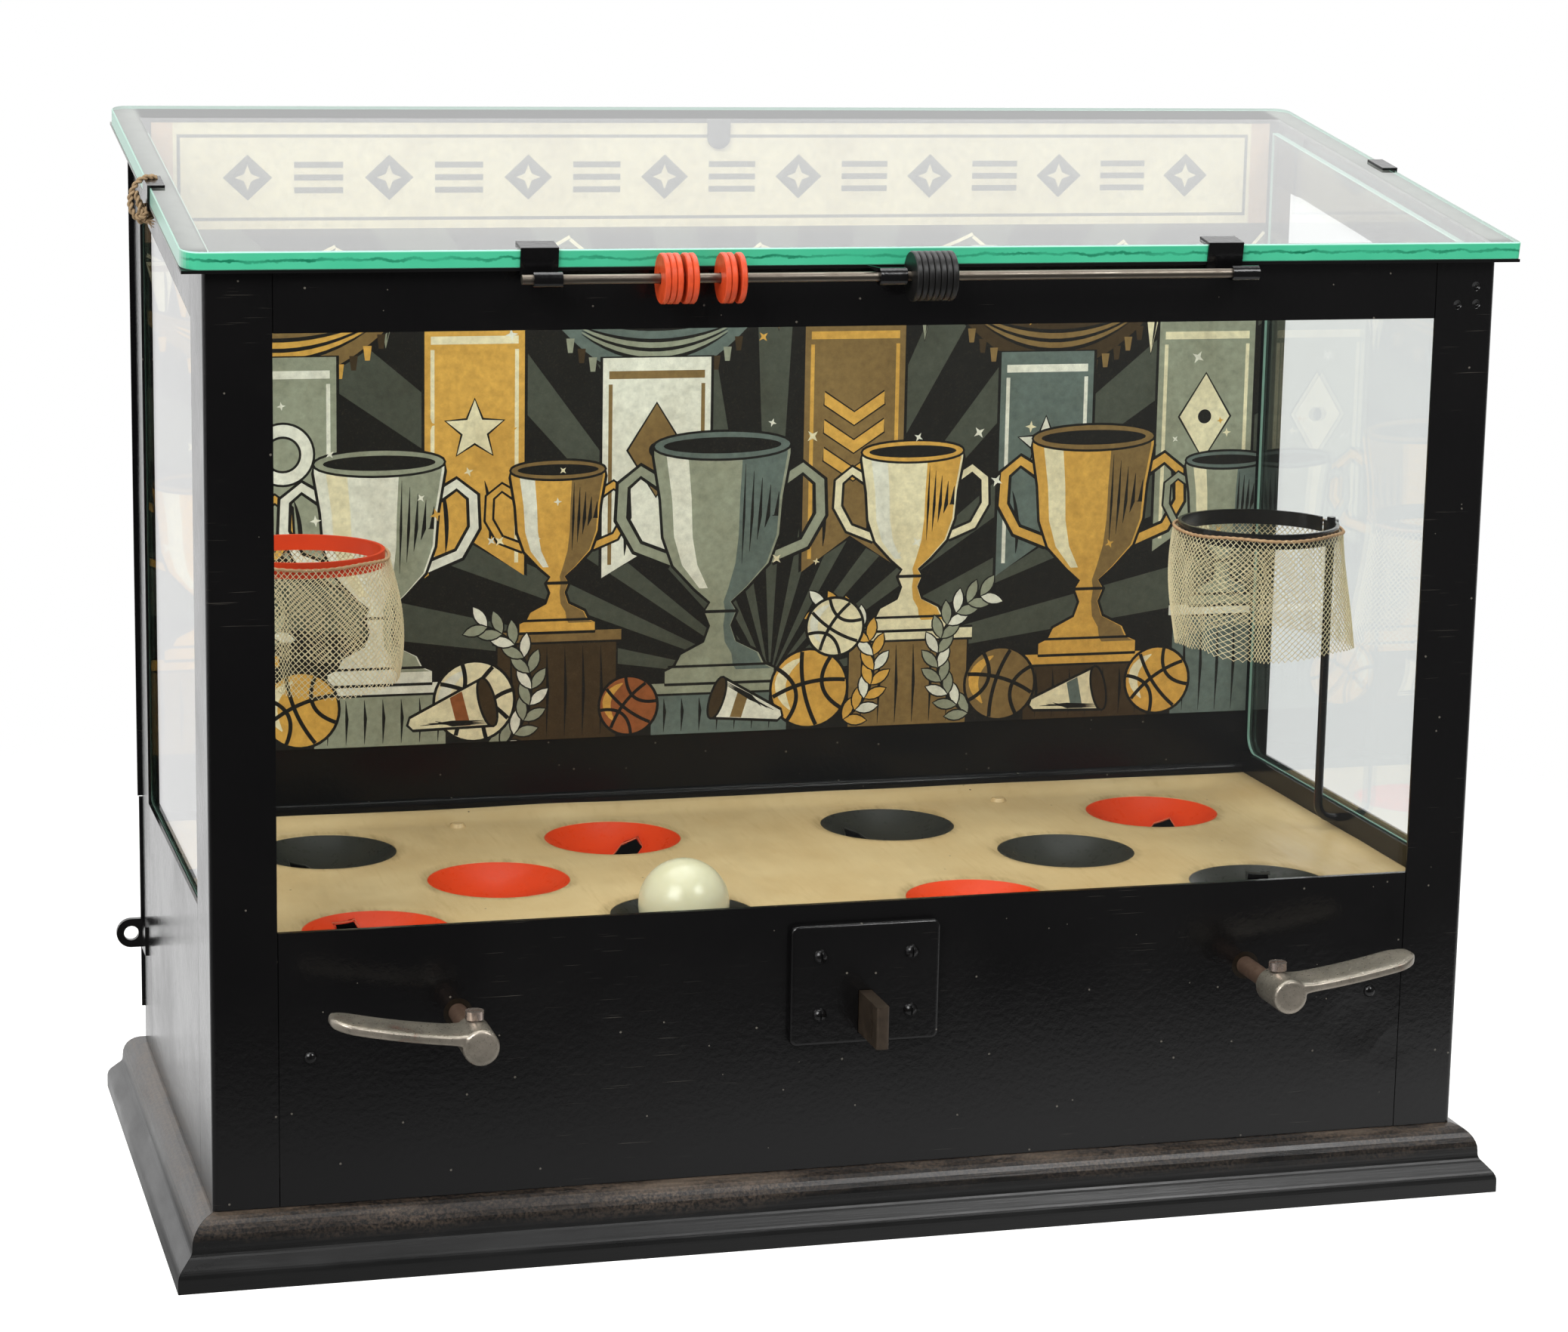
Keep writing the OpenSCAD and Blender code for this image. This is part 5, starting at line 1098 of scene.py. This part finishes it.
def on_lid(u, s, n):
    """A point across, up and off the sloping top of the cabinet."""
    return (u, face_y + s * math.cos(slope) - n * math.sin(slope),
            eaves_z + s * math.sin(slope) + n * math.cos(slope))


slab("lid_pane", rounded(-229.5, -3.6, 229.5, 211.94, (1.5, 6, 6, 6)), 1, 6, on_lid, "lid_glass")
slab("front_pane", rounded(-216.5, 110, 216.5, 331, (0, 0, 0, 0)), -99.5, 3, lambda u, v, n: (u, n, v), "front_glass")


def side_top(y):
    return eaves_z + (y - face_y) * math.tan(slope) - 4


level_top = 300     # stands for the sloping edge until side_top() sets it
side_outline = [(y, side_top(y) if z == level_top else z)
                for y, z in rounded(-95.5, 117.5, 91.4, level_top, (8, 0, 0, 8))]
side_panes = [slab(name, side_outline, lift, 3, lambda y, z, x: (x, y, z), None)
              for name, lift in (("left_side_pane", -220.5), ("right_side_pane", 217.5))]
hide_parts("side_glass")


# Levers.  Zinc castings: a thick hub and a curved blade with soft edges, run into each other by a fillet and
# clamped to the shaft by a nickelled cheese-head screw.  Dull grey-green skin, pinkish where hands press.

cast_zinc, tree, shader, place = new_material("cast zinc alloy", Metallic=0.7)
stain = add(tree, "TexNoise", {"Vector": place, "Scale": 75, "Detail": 6, "Roughness": 0.68})
grit = add(tree, "TexNoise", {"Vector": place, "Scale": 900, "Detail": 3, "Roughness": 0.6})
tone = add(tree, "ValToRGB", {0: stain})
tone.color_ramp.elements[0].position = 0.3
tone.color_ramp.elements[0].color = linear("#7c5448")
tone.color_ramp.elements[1].position = 0.72
tone.color_ramp.elements[1].color = linear("#a99f92")
tone.color_ramp.elements.new(0.42).color = linear("#837d72")
skin(shader, tone, grit, (0.24, 0.42), grit, 0.2, 0.0003)


def shell(points, faces, rings):
    """Adds a closed skin over a row of rings of equally many points."""
    first, n = len(points), len(rings[0])
    for ring in rings:
        points.extend(ring)
    faces.extend(bands(first, len(rings), n))
    faces.append(tuple(range(first + n - 1, first - 1, -1)))
    faces.append(tuple(range(len(points) - n, len(points))))


axle_x, axle_z = 140.5, 86.5
blade_mid, blade_half, blade_l, blade_t = -134.4, 8.5, 48.4, 1.8
for side, hand in ((-1, "left"), (1, "right")):
    points, faces = [], []
    shell(points, faces, [[(side * axle_x + r * c, y, axle_z + r * s) for c, s in circle(48)] for r, y in (
            (4.5, -143.5), (5.3, -143.35), (5.85, -142.9), (6.1, -142.2), (6.1, -126.0), (5.6, -125.5))])
    rings = []
    for u in [0.8 * k for k in range(50)] + [40 + 0.6 * k for k in range(13)] + [47.7, 48.0, 48.2, 48.35]:
        wide = math.sqrt(max(blade_half ** 2 - max(0, u - blade_l + blade_half) ** 2, 0))
        tip = math.sqrt(max(0.04, 1 - max(0, (u - blade_l + blade_t) / blade_t) ** 2))
        thick = blade_t * tip + 1.7 * max(0, 1 - u / 11) ** 2
        middle = axle_z + 1.9 + 0.0805 * u + u * u / 560
        ring = []
        for c, s in circle(40):
            ring.append((side * (axle_x + u), blade_mid + wide * math.copysign(abs(c) ** 0.32, c),
                         middle + thick * math.copysign(abs(s) ** 0.42, s)))
        rings.append(ring)
    shell(points, faces, rings)
    pattern_mesh = bpy.data.meshes.new(hand + " lever shells")
    pattern_mesh.from_pydata([Vector(p) * MM for p in points], [], faces)
    pattern = put(hand + " lever shells", pattern_mesh)
    melt = pattern.modifiers.new("melt", "REMESH")
    melt.mode = "VOXEL"
    melt.voxel_size = 0.35 * MM
    ease = pattern.modifiers.new("ease", "SMOOTH")
    ease.factor = 0.5
    ease.iterations = 8
    cast_mesh = frozen(pattern)
    cast_mesh.name = hand + "_lever_casting"
    cast_mesh.materials.clear()
    cast_mesh.materials.append(cast_zinc)
    cast_mesh.shade_smooth()
    lever = put(hand + "_lever_casting", cast_mesh)
    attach(lever, hand + "_lever")
    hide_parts(hand + "_lever")

# warm bright metal under a fine haze of wear
coat(mottled("nickel plate", 600, 3, "#e0d0c6", "#a8968c", (0.15, 0.35), Metallic=0.9),
     "left_set_screw", "right_set_screw")


# Coin plate.  A shallow pressed cover of enamelled sheet with eased edges, screwed over the slot; a rivet
# with a round head sits near each end of the panel.

low, high = [Vector(c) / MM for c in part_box("coin_plate")]
slide_low, slide_high = [Vector(c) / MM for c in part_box("coin_slide")]
plate_rim = rounded(low.x, low.z, high.x, high.z, (2.5, 2.5, 2.5, 2.5))
points, faces = [], []
around = len(plate_rim)
for inset, y in ((0, high.y), (0, low.y + 1.2), (0.1, low.y + 0.7), (0.35, low.y + 0.3),
                 (0.8, low.y + 0.06), (1.3, low.y)):
    points += [(u, y, v) for u, v in (fattened(plate_rim, -inset) if inset else plate_rim)]
faces += bands(0, 6, around)
u0, u1, v0, v1 = slide_low.x - 0.3, slide_high.x + 0.3, slide_low.z - 0.3, slide_high.z + 0.3
face_plan = [Vector((u, v)) for u, v in fattened(plate_rim, -1.3)] + [
    Vector(c) for c in rect(u0, v0, u1, v1)]
hole_edges = [(around + i, around + (i + 1) % 4) for i in range(4)]
flat, _, triangles, *_ = geometry.delaunay_2d_cdt(face_plan, hole_edges, [], 0, 1e-5)
first = len(points)
points += [(p.x, low.y, p.y) for p in flat]
for tri in triangles:
    mid = sum((flat[i] for i in tri), Vector((0, 0))) / 3
    if not (u0 < mid.x < u1 and v0 < mid.y < v1):
        faces.append(tuple(first + i for i in tri))
first = len(points)
points += [(u, y, v) for y in (low.y, low.y + 1.2) for u, v in rect(u0, v0, u1, v1)]
faces += bands(first, 2, 4)
rivet_z = 74
for x in (-189.9, 188.5):
    shell(points, faces, [[(x + r * c, y, rivet_z + r * s) for c, s in circle(24)] for r, y in (
        (2.2, -101.2), (2.2, -101.7), (2.05, -102.1), (1.6, -102.6), (0.9, -102.95), (0.2, -103.05))])
plate = made_piece("coin_plate_pressing", points, faces, black_enamel, "cabinet")
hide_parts("coin_plate")


# Coin slide.  A thick dark bar with a folded finger pull; its browned skin is worn along the edges.

# nearly black, lighter and browner where it is handled
coat(mottled("browned brass bar", 260, 5, "#241f1b", "#54473a", (0.28, 0.5), fine=0.6, Metallic=0.5), "coin_slide")


# Score rod and counters.  Thin fibre discs, orange and black, slide along a wire rod in front of the lid.

for name, light, dark, nodes in (
        ("orange fibre disc", "#e0532a", "#a83514", ("orange_counters_left", "orange_counters_right")),
        ("black fibre disc", "#1d1c1b", "#0d0d0d", ("black_counters",))):
    # even colour with a soft shine, mottled like pressed paper
    coat(mottled(name, 380, 4, light, dark, (0.25, 0.5), Specular_IOR_Level=0.4), *nodes)


# Loop of twine at the left lid clip.  Two plies of hemp, laid round the clip and the edge of the lid and
# knotted below it; the end is frayed.

# dry and matt, straw to brown, with 1 mm fibre
hemp = mottled("hemp twine", 900, 4, "#b39a78", "#6d5842", relief=(0.6, 0.0003), Roughness=0.9,
               Specular_IOR_Level=0.15)


def laid(points, faces, stops, plies, ply_r, off, pitch, sides=8):
    """Adds twisted plies along a soft curve through the stops."""
    line = []
    ends = [stops[0]] + list(stops) + [stops[-1]]
    for k in range(1, len(ends) - 2):
        p0, p1, p2, p3 = ends[k - 1:k + 3]
        for i in range(14):
            t = i / 14
            line.append(0.5 * (2 * p1 + (p2 - p0) * t + (2 * p0 - 5 * p1 + 4 * p2 - p3) * t * t
                               + (3 * p1 - p0 - 3 * p2 + p3) * t ** 3))
    line.append(ends[-1])
    run, rings = 0, [[] for _ in range(plies)]
    for k, p in enumerate(line):
        ahead = (line[min(k + 1, len(line) - 1)] - line[max(k - 1, 0)]).normalized()
        across = ahead.orthogonal().normalized() if k == 0 else (across - ahead * across.dot(ahead)).normalized()
        up = ahead.cross(across)
        run += (p - line[k - 1]).length if k else 0
        for ply in range(plies):
            a = 2 * math.pi * (run / pitch + ply / plies)
            mid = p + off * (math.cos(a) * across + math.sin(a) * up)
            rings[ply].append([mid + ply_r * (c * across + s * up) for c, s in circle(sides)])
    for row in rings:
        shell(points, faces, row)


points, faces = [], []
loop = [Vector(on_lid(*p)) for p in (
    (-226.0, 93.5, 8.0), (-229.5, 92.5, 8.4), (-233.0, 91.0, 6.8), (-235.2, 89.2, 2.8), (-235.0, 87.5, -1.8),
    (-232.2, 86.5, -5.0), (-229.4, 86.8, -4.6), (-228.0, 88.4, -2.8), (-229.0, 90.5, -2.4), (-232.2, 91.5, 0.5),
    (-233.4, 90.0, 3.8), (-233.0, 88.0, 2.0), (-232.0, 86.2, -2.0), (-230.6, 84.8, -4.4))]
laid(points, faces, loop, 2, 0.6, 0.52, 4.5)
knot_mid, knot_x, knot_y = (Vector(on_lid(-231.6, 85.9, -3.2)), Vector((0.85, -0.5, 0.15)), Vector((0.3, 0.65, 0.7)))
laid(points, faces, [knot_mid + 1.7 * (math.cos(0.7 * k) * knot_x + math.sin(0.7 * k) * knot_y)
                     + Vector((0, 0, 0.12 * k)) for k in range(12)], 2, 0.55, 0.5, 4)
fray = random.Random(6)
for _ in range(22):
    tip = loop[-1] + Vector((fray.uniform(0.2, 3.4), fray.uniform(-2.2, 0.6), fray.uniform(-2.6, 0.2)))
    mid = (loop[-1] + tip) / 2 + Vector([fray.uniform(-0.5, 0.5) for _ in range(3)])
    laid(points, faces, [loop[-1], mid, tip], 1, 0.13, 0, 4, sides=4)
twine = made_piece("hemp_twine", points, faces, hemp, "cabinet")
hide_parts("lid_tie")
